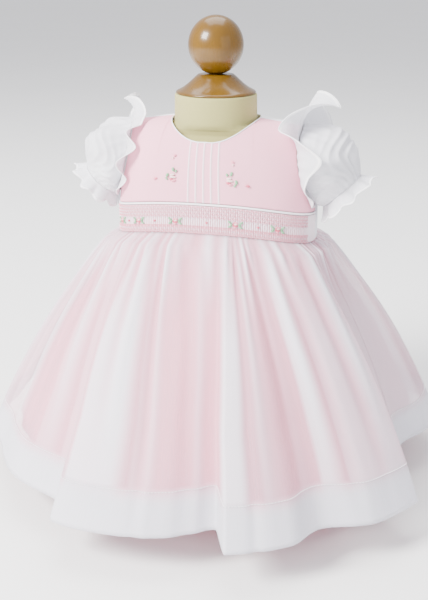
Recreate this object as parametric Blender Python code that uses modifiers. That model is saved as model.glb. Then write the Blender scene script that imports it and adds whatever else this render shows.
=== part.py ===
# Smocked baby dress with a sheer overlay skirt, set on a small dress form.
# Millimetres in the tables and functions, metres in the meshes. +Z up, front towards -Y.
import math

import bmesh
import bpy
import numpy as np
from mathutils import Vector

MM = 0.001
SEAM = 0.3                      # gap between sewn pieces
ARM_GAP = 0.4                   # the same at the curved armhole seams

# Dress form
BASE_RADIUS = 85.0
BASE_HEIGHT = 16.0
POST_RADIUS = 14.0
TORSO_BOTTOM = 85.0
NECK_TOP = 397.3
BALL_TOP = 472.0

# Bodice
CENTRE_X = 2.5                  # the dress sits a little to one side of the form
NECK_SHIFT = 1.5                # and less so at the neck
CHEST_HALF_WIDTH = 102.0
CHEST_FRONT = 62.0
CHEST_BACK = 57.0
CHEST_ROUND = 0.82              # 1 is an ellipse, less is boxier
SHOULDER_NARROWING = 14.0
BAND_TOP = 299.0                # height of the yoke seam at the centre front
SIDE_DROP = 14.0                # the seam sinks by this much at the sides
NECK_POINT_HEIGHT = 374.0
SHOULDER_SLOPE = 0.133
SHOULDER_Y = 5.0
PROFILE_POWER = 3.1
NECK_HALF_WIDTH = 43.4
NECK_ROUND = 0.86
NECK_FRONT = 50.0
NECK_BACK = 46.0
CLOTH = 1.2
TUCK_SPACING = 7.5
TUCK_HEIGHT = 0.8

# Armhole, seen from the side
ARMHOLE_CENTRE_Y = -1.5
ARMHOLE_SHIFT_Y = 6.5
ARMHOLE_HALF_DEPTH = 27.0
ARMHOLE_LOW = 0.149
ARMHOLE_STEP = 20.0             # degrees between the edge's points
ARMHOLE_TOP_SHARE = 0.30        # how far the shoulder seam stops short of the side

# Smocked band
BAND_DEPTH = 29.0
BAND_WALL = 1.4
PLEAT_HEIGHT = 0.8
PIPING_RADIUS = 1.2

# Skirt
HEM_HEIGHT = 40.0
HEM_RADIUS = 245.0
HEM_BAND_START = 0.842
HEM_STEP = 0.5
GATHER_WAVES = 24
GATHER_HEIGHT = 3.2
BELL = 0.10
PUFF = 8.0                      # how far the gathered top stands out below the band
SKIRT_WALL = 1.2
UNDERSKIRT_WALL = 1.0

# hem azimuth (degrees from the front towards +X), hem radius, azimuth at the waist
SKIRT_FOLDS = (
    (-180.0, 238.0, -180.0),
    (-166.0, 254.0, -167.0),
    (-151.0, 233.0, -153.0),
    (-137.0, 256.0, -139.0),
    (-121.0, 232.0, -123.0),
    (-105.0, 250.0, -107.0),
    (-90.0, 238.0, -92.0),
    (-74.0, 244.0, -78.0),
    (-60.0, 233.0, -68.0),
    (-46.0, 236.0, -56.0),
    (-28.0, 228.0, -38.0),
    (-21.5, 257.0, -30.0),
    (-9.0, 250.0, -18.0),
    (3.0, 240.0, -8.0),
    (13.8, 222.0, 5.0),
    (15.6, 262.0, 8.5),
    (28.5, 257.0, 16.0),
    (37.0, 240.0, 22.0),
    (49.0, 257.0, 40.0),
    (61.5, 258.0, 60.0),
    (66.5, 214.0, 65.0),
    (76.0, 199.0, 74.0),
    (87.0, 203.0, 85.0),
    (100.0, 234.0, 98.0),
    (114.0, 250.0, 112.0),
    (129.0, 231.0, 128.0),
    (145.0, 254.0, 144.0),
    (160.0, 234.0, 160.0),
    (172.0, 246.0, 172.0),
)

# Sleeves: cuff centre from the middle, cuff radius, frill radius
SLEEVE_SIZES = {"left": (122.5, 21.5, 29.0), "right": (126.0, 24.0, 33.0)}
CUFF_HEIGHT = 307.0
CUFF_Y = -2.0
CUFF_TILT = math.radians(42.5)
FRILL_DEPTH = 11.0
SLEEVE_WALL = 1.0
SLEEVE_GATHERS = 9

# turn round the armhole (0 top, 90 front), fullness of the puff
PUFF_FULLNESS = (
    (0.0, 22.0),
    (50.0, 20.0),
    (90.0, 15.0),
    (135.0, 6.0),
    (180.0, 0.5),
    (225.0, 6.0),
    (270.0, 14.0),
    (310.0, 19.0),
)

# turn at the armhole, turn at the cuff, half width, height
SLEEVE_FOLDS = {
    "left": (
        (55.0, 22.0, 15.0, 5.0),
        (26.0, -8.0, 14.0, -5.0),
        (88.0, 60.0, 16.0, -5.0),
    ),
    "right": (
        (40.0, 30.0, 15.0, -4.0),
        (70.0, 62.0, 15.0, 4.0),
        (105.0, 95.0, 14.0, -4.0),
    ),
}

# turn round the armhole, width of the ruffle, lean (0 stands off the seam, + over the sleeve)
RUFFLE_WAVES = {
    "left": (
        (0.0, 24.0, 32.0),
        (12.0, 25.0, -15.0),
        (26.0, 21.0, -50.0),
        (44.0, 20.0, -46.0),
        (60.0, 22.0, -8.0),
        (75.0, 24.0, -36.0),
        (93.0, 21.0, 10.0),
        (112.0, 19.0, -24.0),
        (132.0, 15.0, 8.0),
        (155.0, 9.0, 8.0),
        (180.0, 3.0, 20.0),
        (205.0, 6.0, 8.0),
        (235.0, 14.0, 12.0),
        (268.0, 25.0, 2.0),
        (300.0, 29.0, 42.0),
        (332.0, 29.0, 8.0),
    ),
    "right": (
        (10.0, 43.0, 60.0),
        (30.0, 34.0, 15.0),
        (50.0, 29.0, -35.0),
        (65.0, 32.0, 10.0),
        (80.0, 38.0, 44.0),
        (98.0, 25.0, 28.0),
        (112.0, 22.0, 16.0),
        (130.0, 18.0, 30.0),
        (152.0, 12.0, 12.0),
        (180.0, 3.0, 20.0),
        (205.0, 6.0, 8.0),
        (235.0, 14.0, 12.0),
        (268.0, 27.0, 4.0),
        (300.0, 33.0, 42.0),
        (335.0, 36.0, 14.0),
    ),
}

# height, half width, half depth of the padded form
TORSO_RINGS = (
    (85.0, 54.0, 40.0),
    (92.0, 62.0, 46.0),
    (125.0, 72.0, 51.0),
    (200.0, 73.0, 50.0),
    (262.0, 80.0, 52.0),
    (315.0, 84.0, 51.0),
    (342.0, 83.0, 46.0),
    (354.0, 79.0, 39.0),
    (361.0, 70.0, 36.0),
    (365.0, 58.0, 37.0),
    (367.5, 47.0, 39.0),
    (371.0, 41.3, 40.8),
    (380.0, 41.0, 41.0),
    (397.3, 40.6, 40.6),
)

PINK = (0.95, 0.66, 0.72, 1.0)
WHITE = (0.93, 0.92, 0.95, 1.0)
CREAM = (0.80, 0.76, 0.62, 1.0)
HONEY = (0.55, 0.27, 0.09, 1.0)

model = bpy.data.collections.new("smocked_dress_on_form")


def clear_scene():
    for item in list(bpy.data.objects):
        bpy.data.objects.remove(item, do_unlink=True)
    bpy.context.scene.collection.children.link(model)


def make_material(name, colour, roughness):
    material = bpy.data.materials.new(name)
    material.use_nodes = True
    shader = material.node_tree.nodes["Principled BSDF"]
    shader.inputs["Base Color"].default_value = colour
    shader.inputs["Roughness"].default_value = roughness
    shader.inputs["Metallic"].default_value = 0.0
    return material


def add_object(name, data, material):
    item = bpy.data.objects.new(name, data)
    data.materials.append(material)
    model.objects.link(item)
    return item


def signed_power(value, power):
    return np.sign(value) * np.abs(value) ** power


def smooth_table(at, table, column, period):
    # Cubic curve through a table whose first column is an angle, repeated every period.
    rows = np.array(table, dtype=float)
    x = np.concatenate((rows[:, 0] - period, rows[:, 0], rows[:, 0] + period))
    y = np.concatenate((rows[:, column],) * 3)
    if column == 2 and table is SKIRT_FOLDS:
        y = np.concatenate((rows[:, 2] - period, rows[:, 2], rows[:, 2] + period))
    step = np.diff(x)
    slope = np.diff(y) / step
    product = slope[:-1] * slope[1:]
    mean = np.where(product > 0.0, 2.0 * product / (slope[:-1] + slope[1:] + 1e-12), 0.0)
    tangent = np.concatenate(([slope[0]], mean, [slope[-1]]))
    at = np.asarray(at, dtype=float)
    i = np.clip(np.searchsorted(x, at) - 1, 0, len(x) - 2)
    u = (at - x[i]) / step[i]
    a = (1.0 + 2.0 * u) * (1.0 - u) ** 2
    b = u * (1.0 - u) ** 2
    c = u * u * (3.0 - 2.0 * u)
    d = u * u * (u - 1.0)
    return a * y[i] + b * step[i] * tangent[i] + c * y[i + 1] + d * step[i] * tangent[i + 1]


def seam_height(s):
    return BAND_TOP - SIDE_DROP * np.sin(s) ** 2


def chest_depth(s):
    return np.where(np.cos(s) >= 0.0, CHEST_FRONT, CHEST_BACK)


# The bodice runs from the yoke seam (v = 0) up and over to the shoulder line (v = 1).
# Its side view is a rounded corner, stepped evenly along its length.
_turn = np.linspace(0.0, math.pi / 2.0, 600)
_rise = np.sin(_turn) ** (2.0 / PROFILE_POWER)
_reach = np.cos(_turn) ** (2.0 / PROFILE_POWER)
_length = np.concatenate(([0.0], np.cumsum(np.hypot(76.0 * np.diff(_rise), 60.0 * np.diff(_reach)))))
PROFILE_LENGTH = float(_length[-1])


def profile(v):
    along = np.clip(v, 0.0, 1.0) * PROFILE_LENGTH
    return np.interp(along, _length, _rise), np.interp(along, _length, _reach)


def bodice(s, v):
    # s turns round the chest from the centre front; below v = 0 the wall goes straight down.
    s = np.asarray(s, dtype=float)
    v = np.asarray(v, dtype=float)
    rise, reach = profile(v)
    half_width = CHEST_HALF_WIDTH - SHOULDER_NARROWING * rise ** 1.5
    x = half_width * signed_power(np.sin(s), CHEST_ROUND)
    y = SHOULDER_Y * rise - chest_depth(s) * reach * signed_power(np.cos(s), CHEST_ROUND)
    top = NECK_POINT_HEIGHT - SHOULDER_SLOPE * (np.abs(x) - NECK_HALF_WIDTH)
    low = seam_height(s)
    z = low + (top - low) * rise + np.minimum(v, 0.0) * PROFILE_LENGTH
    return np.stack((x + CENTRE_X - NECK_SHIFT * rise, y, z), axis=-1)


def rise_to_v(rise):
    return np.interp(rise, _rise, _length) / PROFILE_LENGTH


def armhole(beta):
    # Chest turn and height share of the right armhole; beta 0 is the shoulder, 90 the front.
    beta = np.asarray(beta, dtype=float)
    rise = ARMHOLE_LOW + (1.0 - ARMHOLE_LOW) * 0.5 * (1.0 + np.cos(beta))
    y = ARMHOLE_CENTRE_Y + ARMHOLE_SHIFT_Y * np.cos(beta) - ARMHOLE_HALF_DEPTH * np.sin(beta)
    v = rise_to_v(rise)
    reach = np.maximum(profile(v)[1], 1e-6)
    offset = y - SHOULDER_Y * rise
    depth = np.where(offset <= 0.0, CHEST_FRONT, CHEST_BACK) * reach
    share = np.clip(np.abs(offset) / depth, 0.0, 1.0) ** (1.0 / CHEST_ROUND)
    share = np.maximum(share, ARMHOLE_TOP_SHARE * np.clip((v - 0.5) / 0.3, 0.0, 1.0))
    front = np.sin(beta) >= -1e-9
    s = np.where(front & (offset <= 0.0), np.arccos(share), math.pi - np.arccos(share))
    s = np.where(~front & (offset <= 0.0), np.arccos(share), s)
    s = np.where(front & (v > 0.9), np.arccos(share), s)
    return s, v


SIDE_TURN = float(armhole(math.pi)[0])
SIDE_GAP = math.radians(0.12)


def neckline(plan_turn):
    # Chest turn and height share where the neck oval, seen from above, cuts the bodice.
    x = NECK_HALF_WIDTH * signed_power(np.sin(plan_turn), NECK_ROUND)
    front = np.cos(plan_turn) >= 0.0
    y = -np.where(front, NECK_FRONT, NECK_BACK) * signed_power(np.cos(plan_turn), NECK_ROUND)
    low = np.zeros_like(x)
    high = np.ones_like(x)
    for _ in range(40):
        v = 0.5 * (low + high)
        rise, reach = profile(v)
        half_width = CHEST_HALF_WIDTH - SHOULDER_NARROWING * rise ** 1.5
        depth = np.where(front, CHEST_FRONT, CHEST_BACK) * np.maximum(reach, 1e-6)
        out = np.abs(x / half_width) ** (2.0 / CHEST_ROUND)
        out = out + np.abs((y - SHOULDER_Y * rise) / depth) ** (2.0 / CHEST_ROUND)
        low = np.where(out < 1.0, v, low)
        high = np.where(out < 1.0, high, v)
    rise = profile(v)[0]
    half_width = CHEST_HALF_WIDTH - SHOULDER_NARROWING * rise ** 1.5
    turn = np.arcsin(np.clip(np.abs(x) / half_width, 0.0, 1.0) ** (1.0 / CHEST_ROUND))
    return np.where(front, turn, math.pi - turn), v


def turn_at(x, v):
    half_width = CHEST_HALF_WIDTH - SHOULDER_NARROWING * profile(v)[0] ** 1.5
    return np.arcsin((x / half_width) ** (1.0 / CHEST_ROUND))


def grid_normals(points, closed):
    # Unit normals of a grid of points, rows by columns, from the steps to the neighbours.
    down = np.gradient(points, axis=0)
    if closed:
        across = np.roll(points, -1, axis=1) - np.roll(points, 1, axis=1)
    else:
        across = np.gradient(points, axis=1)
    normal = np.cross(down, across)
    size = np.linalg.norm(normal, axis=2, keepdims=True)
    return normal / np.maximum(size, 1e-9)


def wall_mesh(name, outer, inner, closed):
    # A cloth wall between two matching grids, its rims closed. Outer faces point along
    # across x down of the grid.
    rows, columns = outer.shape[:2]
    points = np.concatenate((outer.reshape(-1, 3), inner.reshape(-1, 3))) * MM
    shift = rows * columns
    spans = columns if closed else columns - 1
    faces = []
    for c in range(spans):
        d = (c + 1) % columns
        for r in range(rows - 1):
            a = r * columns + c
            b = r * columns + d
            e = (r + 1) * columns + d
            f = (r + 1) * columns + c
            faces.append((a, b, e, f))
            faces.append((f + shift, e + shift, b + shift, a + shift))
        last = (rows - 1) * columns
        faces.append((d, c, c + shift, d + shift))
        faces.append((last + c, last + d, last + d + shift, last + c + shift))
    if not closed:
        end = columns - 1
        for r in range(rows - 1):
            a = r * columns
            b = (r + 1) * columns
            faces.append((a, b, b + shift, a + shift))
            faces.append((b + end, a + end, a + end + shift, b + end + shift))
    mesh = bpy.data.meshes.new(name)
    mesh.from_pydata([tuple(p) for p in points], [], faces)
    mesh.update()
    return mesh


def add_wall(name, outer, inner, closed, material):
    mesh = wall_mesh(name, outer, inner, closed)
    work = bmesh.new()
    work.from_mesh(mesh)
    if work.calc_volume(signed=True) < 0.0:
        bmesh.ops.reverse_faces(work, faces=work.faces)
    work.to_mesh(mesh)
    work.free()
    mesh.shade_smooth()
    mesh.set_sharp_from_angle(angle=math.radians(50.0))
    return add_object(name, mesh, material)


def add_sheet(name, sheet, closed, thickness, material, side=-1.0):
    # A plain cloth wall: one grid and the same grid moved along its normals.
    normal = grid_normals(sheet, closed)
    return add_wall(name, sheet, sheet + side * thickness * normal, closed, material)


def patch(bottom, top, sway, rows):
    # Turns and heights of a grid between a bottom line and a top line of such pairs. A
    # column with more sway keeps to its lower turn for longer, so it clears the armhole.
    share = np.linspace(0.0, 1.0, rows)[:, None]
    across = share ** sway[None, :]
    s = bottom[0][None, :] * (1.0 - across) + top[0][None, :] * across
    v = bottom[1][None, :] * (1.0 - share) + top[1][None, :] * share
    return s[::-1], v[::-1]


def shoulder_gap(points, top_v, towards):
    # The row on the shoulder line keeps half a seam from the other side's row.
    on_line = top_v > 0.9999
    points[0, on_line, 1] += towards * SEAM / 2.0


def bodice_normals(s, v, top_v):
    # Outward unit normals of the bodice, with the shoulder edge cut straight down.
    small = 0.002
    high = np.minimum(v + small, 0.999)
    around = bodice(s + small, np.minimum(v, 0.997)) - bodice(s - small, np.minimum(v, 0.997))
    upward = bodice(s, high) - bodice(s, high - 2.0 * small)
    normal = np.cross(around, upward)
    if top_v is not None:
        normal[0, top_v > 0.9999, 1] = 0.0
    return normal / np.linalg.norm(normal, axis=-1, keepdims=True)


def add_yoke(material):
    tucks = TUCK_SPACING * np.arange(3)
    centre = np.concatenate([[t - 0.8, t, t + 0.8] for t in tucks])
    centre = np.concatenate((centre[1:], (19.5, 25.5)))
    across = (centre * 0.93 / NECK_HALF_WIDTH) ** (1.0 / NECK_ROUND)
    plan = np.concatenate((np.arcsin(across), np.radians((48.0, 62.0, 76.0))))
    neck_s, neck_v = neckline(plan)
    arm_s, arm_v = armhole(np.radians(np.arange(0.0, 181.0, ARMHOLE_STEP)))
    neck_point = float(turn_at(NECK_HALF_WIDTH, 1.0))
    shoulder_s = np.linspace(neck_point, arm_s[0], 5)[:-1]
    low_neck = np.concatenate((turn_at(centre, 0.0), np.radians((17.5, 21.5, 25.0))))
    low_arm = (46.0, 49.0, 52.0, 55.0, 58.5, 62.5, 67.0, 73.0, 79.5, math.degrees(SIDE_TURN))
    low_s = np.concatenate((low_neck, np.radians((28.0, 32.0, 37.0, 42.0)), np.radians(low_arm)))
    sway = np.concatenate((np.full(len(neck_s), 1.0), (1.3, 1.7, 2.2, 2.6),
                           (3.0, 3.0, 3.0, 2.5, 1.8, 1.0, 1.0, 1.0, 1.0, 1.0)))
    top_s = np.concatenate((neck_s, shoulder_s, arm_s))
    top_v = np.concatenate((neck_v, np.ones(4), arm_v))
    low_v = np.full(len(low_s), 1.5 / PROFILE_LENGTH)
    top_s[-1] -= SIDE_GAP
    low_s[-1] -= SIDE_GAP
    top_s = np.concatenate((-top_s[:0:-1], top_s))
    low_s = np.concatenate((-low_s[:0:-1], low_s))
    top_v = np.concatenate((top_v[:0:-1], top_v))
    low_v = np.concatenate((low_v[:0:-1], low_v))
    sway = np.concatenate((sway[:0:-1], sway))
    s, v = patch((low_s, low_v), (top_s, top_v), sway, 8)
    points = bodice(s, v)
    shoulder_gap(points, top_v, -1.0)
    normal = bodice_normals(s, v, top_v)
    half = len(centre)
    crest = np.zeros(half)
    crest[[0, 3, 6]] = TUCK_HEIGHT
    lift = np.zeros(len(top_s))
    middle = len(top_s) // 2
    lift[middle:middle + half] = crest
    lift[middle - half + 1:middle + 1] = crest[::-1]
    outer = points + lift[None, :, None] * normal
    return add_wall("yoke_front", outer, points - CLOTH * normal, False, material)


def add_back(name, side, material):
    neck_s, neck_v = neckline(np.radians((180.0, 160.0, 140.0, 120.0, 102.0)))
    arm_s, arm_v = armhole(np.radians(np.arange(360.0, 179.0, -ARMHOLE_STEP)))
    arm_s[0] = math.pi - float(armhole(0.0)[0])
    neck_point = math.pi - float(turn_at(NECK_HALF_WIDTH, 1.0))
    shoulder_s = np.linspace(neck_point, arm_s[0], 5)[:-1]
    low_arm = (131.0, 129.0, 126.0, 123.0, 119.5, 115.0, 109.0, 101.0, 93.0,
               math.degrees(SIDE_TURN))
    low_s = np.radians((180.0, 173.0, 166.0, 159.0, 153.0, 148.0, 144.0, 139.5, 135.0) + low_arm)
    sway = np.array((1.0, 1.0, 1.0, 1.0, 1.0, 1.3, 1.7, 2.2, 2.6,
                     3.0, 3.0, 3.0, 2.5, 1.8, 1.0, 1.0, 1.0, 1.0, 1.0))
    top_s = np.concatenate((neck_s, shoulder_s, arm_s))
    top_v = np.concatenate((neck_v, np.ones(4), arm_v))
    low_v = np.full(len(low_s), -BAND_DEPTH / PROFILE_LENGTH)
    top_s[-1] += SIDE_GAP
    low_s[-1] += SIDE_GAP
    s, v = patch((side * low_s, low_v), (side * top_s, top_v), sway, 8)
    points = bodice(s, v)
    shoulder_gap(points, top_v, 1.0)
    points[:, 0, 0] += side * SEAM / 2.0
    normal = bodice_normals(s, v, top_v)
    return add_wall(name, points, points - CLOTH * normal, False, material)


def add_band(material):
    columns = 61
    rows = 6
    s = np.linspace(-SIDE_TURN + SIDE_GAP, SIDE_TURN - SIDE_GAP, columns)[None, :]
    drop = np.linspace(1.5, BAND_DEPTH, rows)[:, None]
    points = bodice(s + 0.0 * drop, -drop / PROFILE_LENGTH + 0.0 * s)
    normal = grid_normals(points, False)
    checker = (np.add.outer(np.arange(rows), np.arange(columns)) % 2).astype(float)
    checker[:, 0] = 0.0
    checker[:, -1] = 0.0
    outer = points + PLEAT_HEIGHT * checker[..., None] * normal
    return add_wall("smocked_band", outer, points - BAND_WALL * normal, False, material)


def add_piping(material):
    s = np.linspace(-SIDE_TURN + SIDE_GAP, SIDE_TURN - SIDE_GAP, 37)
    path = bodice(s, np.zeros_like(s))
    outward = np.stack((np.sin(s), -np.cos(s), np.zeros_like(s)), axis=-1)
    path = path - 0.1 * outward
    curve = bpy.data.curves.new("yoke_piping", "CURVE")
    curve.dimensions = "3D"
    curve.bevel_depth = PIPING_RADIUS * MM
    curve.bevel_resolution = 1
    curve.use_fill_caps = True
    spline = curve.splines.new("POLY")
    spline.points.add(len(path) - 1)
    for point, place in zip(spline.points, path):
        point.co = (place[0] * MM, place[1] * MM, place[2] * MM, 1.0)
    return add_object("yoke_piping", curve, material)


def gathering(s, t):
    # How far the gathers and the fullness under the band stand out of a plain cone.
    waves = 0.5 * (1.0 + np.cos(GATHER_WAVES * s)) * GATHER_HEIGHT
    waves = waves * np.minimum(t / 0.03, 1.0) * np.exp(-t / 0.16)
    return waves + PUFF * np.minimum(t / 0.04, 1.0) * np.exp(-t / 0.4)


def skirt(s, t, lift=0.0):
    # Overlay skirt: s is the azimuth at the hem, t runs from the band (0) to the hem (1).
    # Each fold is a straight line from its place at the waist to its place at the hem.
    s = np.asarray(s, dtype=float)
    t = np.asarray(t, dtype=float)
    degrees = np.degrees(s)
    waist = np.radians(smooth_table(degrees, SKIRT_FOLDS, 2, 360.0))
    fold = smooth_table(degrees, SKIRT_FOLDS, 1, 360.0) - HEM_RADIUS
    turn = waist + (s - waist) * (1.0 - (1.0 - t) ** 2.2)
    bell = t + BELL * np.sin(math.pi * t)
    roundness = CHEST_ROUND + (1.0 - CHEST_ROUND) * np.clip(1.6 * t, 0.0, 1.0)
    fall = bell ** 0.8
    spread = HEM_RADIUS * bell + fold * fall + gathering(s, t) + lift
    wide = CHEST_HALF_WIDTH * (1.0 - bell) + spread
    deep = chest_depth(turn) * (1.0 - bell) + spread
    x = CENTRE_X * (1.0 - t) + wide * signed_power(np.sin(turn), roundness)
    y = -deep * signed_power(np.cos(turn), roundness)
    start = seam_height(turn) - BAND_DEPTH - SEAM
    z = start + (HEM_HEIGHT - start) * t
    return np.stack((x, y, z), axis=-1)


def skirt_columns(start, stop):
    # Even columns, moved onto the fold edges where a fold turns sharply.
    even = np.arange(-180.0, 360.0, 90.0 / GATHER_WAVES)
    table = np.array(SKIRT_FOLDS)[:, 0]
    edges = np.concatenate((table, table + 360.0))
    near = np.abs(even[:, None] - edges[None, :]).min(axis=1) < 1.6
    middle = np.union1d(even[~near], edges)
    middle = middle[(middle > start + 1.0) & (middle < stop - 1.0)]
    return np.radians(np.concatenate(([start], middle, [stop])))


def add_skirt(name, start, stop, material):
    s = skirt_columns(start, stop)[None, :]
    rows = np.array((0.0, 0.03, 0.09, 0.22, 0.42, 0.64, HEM_BAND_START - 0.002,
                     HEM_BAND_START + 0.002, 1.0))[:, None]
    points = skirt(s + 0.0 * rows, rows + 0.0 * s)
    normal = grid_normals(points, False)
    hem = (rows > HEM_BAND_START).astype(float) * HEM_STEP
    outer = points + hem[..., None] * normal
    return add_wall(name, outer, points - SKIRT_WALL * normal, False, material)


def add_underskirt(material):
    # It follows the overlay's folds at half their depth, well inside them.
    s = np.radians(np.arange(-180.0, 180.0, 7.5))[None, :]
    t = np.array((0.0, 0.05, 0.18, 0.4, 0.68, 0.92))[:, None]
    degrees = np.degrees(s)
    fold = smooth_table(degrees, SKIRT_FOLDS, 1, 360.0) - HEM_RADIUS
    bell = t + BELL * np.sin(math.pi * t)
    own_fold = np.minimum(0.5 * fold, fold + 12.0)
    inward = (own_fold - fold - 26.0) * bell ** 0.8 - gathering(s, t)
    inward = inward - (SKIRT_WALL + SEAM + 0.5)
    points = skirt(s + 0.0 * t, t + 0.0 * s, inward)
    return add_sheet("underskirt", points, True, UNDERSKIRT_WALL, material)


def sleeve_frame(side_name):
    side = 1.0 if side_name == "right" else -1.0
    reach, cuff, frill = SLEEVE_SIZES[side_name]
    across = np.array((side * math.cos(CUFF_TILT), 0.0, math.sin(CUFF_TILT)))
    down = np.array((side * math.sin(CUFF_TILT), 0.0, -math.cos(CUFF_TILT)))
    forward = np.array((0.0, -1.0, 0.0))
    centre = np.array((CENTRE_X + side * reach, CUFF_Y, CUFF_HEIGHT))
    return side, centre, cuff, frill, across, forward, down


def armhole_points(beta, side):
    # The armhole edge of the bodice, with straight steps between its points.
    step = math.radians(ARMHOLE_STEP)
    low = np.floor(beta / step + 1e-9)
    share = (beta / step - low)[..., None]
    ends = []
    for node in (low, low + 1.0):
        s, v = armhole((node * step) % (2.0 * math.pi))
        ends.append(bodice(side * s, v))
    return ends[0] * (1.0 - share) + ends[1] * share


def wrapped(angle):
    return (angle + math.pi) % (2.0 * math.pi) - math.pi


def sleeve(side_name, beta, q):
    # Puff from the armhole (q = 0) to the cuff (q = 1), full along its middle.
    side, centre, cuff, frill, across, forward, down = sleeve_frame(side_name)
    start = armhole_points(beta, side)
    start[..., 0] += side * (ARM_GAP * 2.0 + SLEEVE_WALL)
    round_cuff = np.cos(beta)[..., None] * across + np.sin(beta)[..., None] * forward
    end = centre + cuff * round_cuff
    up = np.stack((0.0 * beta, -np.sin(beta), np.cos(beta)), axis=-1)
    direction = round_cuff + 0.25 * up
    direction[..., 0] = side * np.maximum(side * direction[..., 0], 0.0)
    direction = direction / np.linalg.norm(direction, axis=-1, keepdims=True)
    full = smooth_table(np.degrees(beta), PUFF_FULLNESS, 1, 360.0) * np.sin(math.pi * q)
    for at_arm, at_cuff, half_width, height in SLEEVE_FOLDS[side_name]:
        middle = np.radians(at_arm + (at_cuff - at_arm) * q)
        apart = wrapped(beta - middle) / math.radians(half_width)
        full = full + height * np.exp(-apart * apart) * np.sin(math.pi * q)
    gathers = np.cos(SLEEVE_GATHERS * beta) * np.sin(math.pi * np.clip(q, 0.0, 1.0)) ** 0.5
    gathers = gathers * (1.3 * np.exp(-q / 0.22) + 1.6 * np.exp(-(1.0 - q) / 0.22))
    gathers = gathers * (0.5 + 0.5 * np.cos(beta))
    q3 = q[..., None]
    return start * (1.0 - q3) + end * q3 + (full + gathers)[..., None] * direction


def add_sleeve(side_name, material):
    beta = np.radians(np.arange(0.0, 360.0, 10.0))[None, :]
    q = np.array((0.0, 0.08, 0.24, 0.44, 0.64, 0.82, 0.94, 1.0))[:, None]
    points = sleeve(side_name, beta + 0.0 * q, q + 0.0 * beta)
    side = 1.0 if side_name == "right" else -1.0
    return add_sheet("sleeve_" + side_name, points, True, SLEEVE_WALL, material, side)


def cuff_frill(side_name, beta, u):
    # Frill below the cuff: it flares to its own radius and waves towards its free edge.
    side, centre, cuff, frill, across, forward, down = sleeve_frame(side_name)
    wave = 2.6 * np.cos(9.0 * beta) + 1.2 * np.sin(4.0 * beta + 0.6)
    radius = cuff + (frill - cuff) * u + wave * u
    dip = 1.4 * np.cos(9.0 * beta + 0.9) * u
    ring = np.cos(beta)[..., None] * across + np.sin(beta)[..., None] * forward
    return centre + ring * radius[..., None] + down * (SEAM + FRILL_DEPTH * u + dip)[..., None]


def add_cuff_frill(side_name, material):
    beta = np.radians(np.arange(0.0, 360.0, 10.0))[None, :]
    u = np.array((0.0, 0.5, 1.0))[:, None]
    points = cuff_frill(side_name, beta + 0.0 * u, u + 0.0 * beta)
    side = 1.0 if side_name == "right" else -1.0
    return add_sheet("cuff_frill_" + side_name, points, True, SLEEVE_WALL, material, side)


def ruffle(side_name, beta, u):
    # Standing ruffle in the armhole seam: it leaves the seam square to it and leans over.
    side = 1.0 if side_name == "right" else -1.0
    table = RUFFLE_WAVES[side_name]
    degrees = np.degrees(beta)
    width = smooth_table(degrees, table, 1, 360.0)
    lean = np.radians(smooth_table(degrees, table, 2, 360.0)) * u ** 1.2
    up = np.stack((0.0 * beta, -np.sin(beta), np.cos(beta)), axis=-1)
    out = np.array((side, 0.0, 0.0))
    reach = (width * u)[..., None]
    base = armhole_points(beta, side) - 0.9 * up + ARM_GAP * out
    return base + reach * (np.cos(lean)[..., None] * up + np.sin(lean)[..., None] * out)


def add_ruffle(side_name, material):
    beta = np.radians(np.arange(0.0, 360.0, 10.0))[None, :]
    u = np.array((0.0, 0.18, 0.58, 1.0))[:, None]
    points = ruffle(side_name, beta + 0.0 * u, u + 0.0 * beta)
    side = 1.0 if side_name == "right" else -1.0
    normal = grid_normals(points, True)
    if (normal[0, :, 0] * side).mean() < 0.0:
        normal = -normal
    inner = points + SLEEVE_WALL * normal
    return add_wall("armhole_ruffle_" + side_name, points, inner, True, material)


def back_height(height):
    # Height share on the centre back line for a height in millimetres.
    v = np.linspace(-BAND_DEPTH / PROFILE_LENGTH, 1.0, 400)
    z = bodice(np.full_like(v, math.pi), v)[:, 2]
    return float(np.interp(height, z, v))


def add_placket(material):
    top = float(neckline(np.array([math.pi]))[1][0])
    v = np.linspace(top - 0.01, -BAND_DEPTH / PROFILE_LENGTH, 10)[:, None]
    across = np.linspace(-7.0, 7.0, 4)[None, :]
    turn = math.pi - np.sign(across) * (np.abs(across) / CHEST_HALF_WIDTH) ** (1.0 / CHEST_ROUND)
    points = bodice(turn + 0.0 * v, v + 0.0 * across)
    normal = grid_normals(points, False)
    if normal[..., 1].mean() < 0.0:
        normal = -normal
    near = points + (SEAM + 0.1) * normal
    return add_wall("back_placket", near + CLOTH * normal, near, False, material)


def add_button(name, height, material):
    v = back_height(height)
    step = 0.01
    place = bodice(np.array([math.pi]), np.array([v]))[0]
    above = bodice(np.array([math.pi]), np.array([v + step]))[0]
    rise = above - place
    normal = Vector((0.0, rise[2], -rise[1])).normalized()
    bpy.ops.mesh.primitive_cylinder_add(vertices=16, radius=5.0 * MM, depth=2.0 * MM)
    button = bpy.context.object
    button.name = name
    button.data.name = name
    for collection in button.users_collection:
        collection.objects.unlink(button)
    model.objects.link(button)
    button.data.materials.append(material)
    button.location = Vector(place) * MM + normal * (CLOTH + 2.0 * SEAM + 0.1 + 1.0) * MM
    button.rotation_mode = "QUATERNION"
    button.rotation_quaternion = normal.to_track_quat("Z", "Y")
    return button


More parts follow.
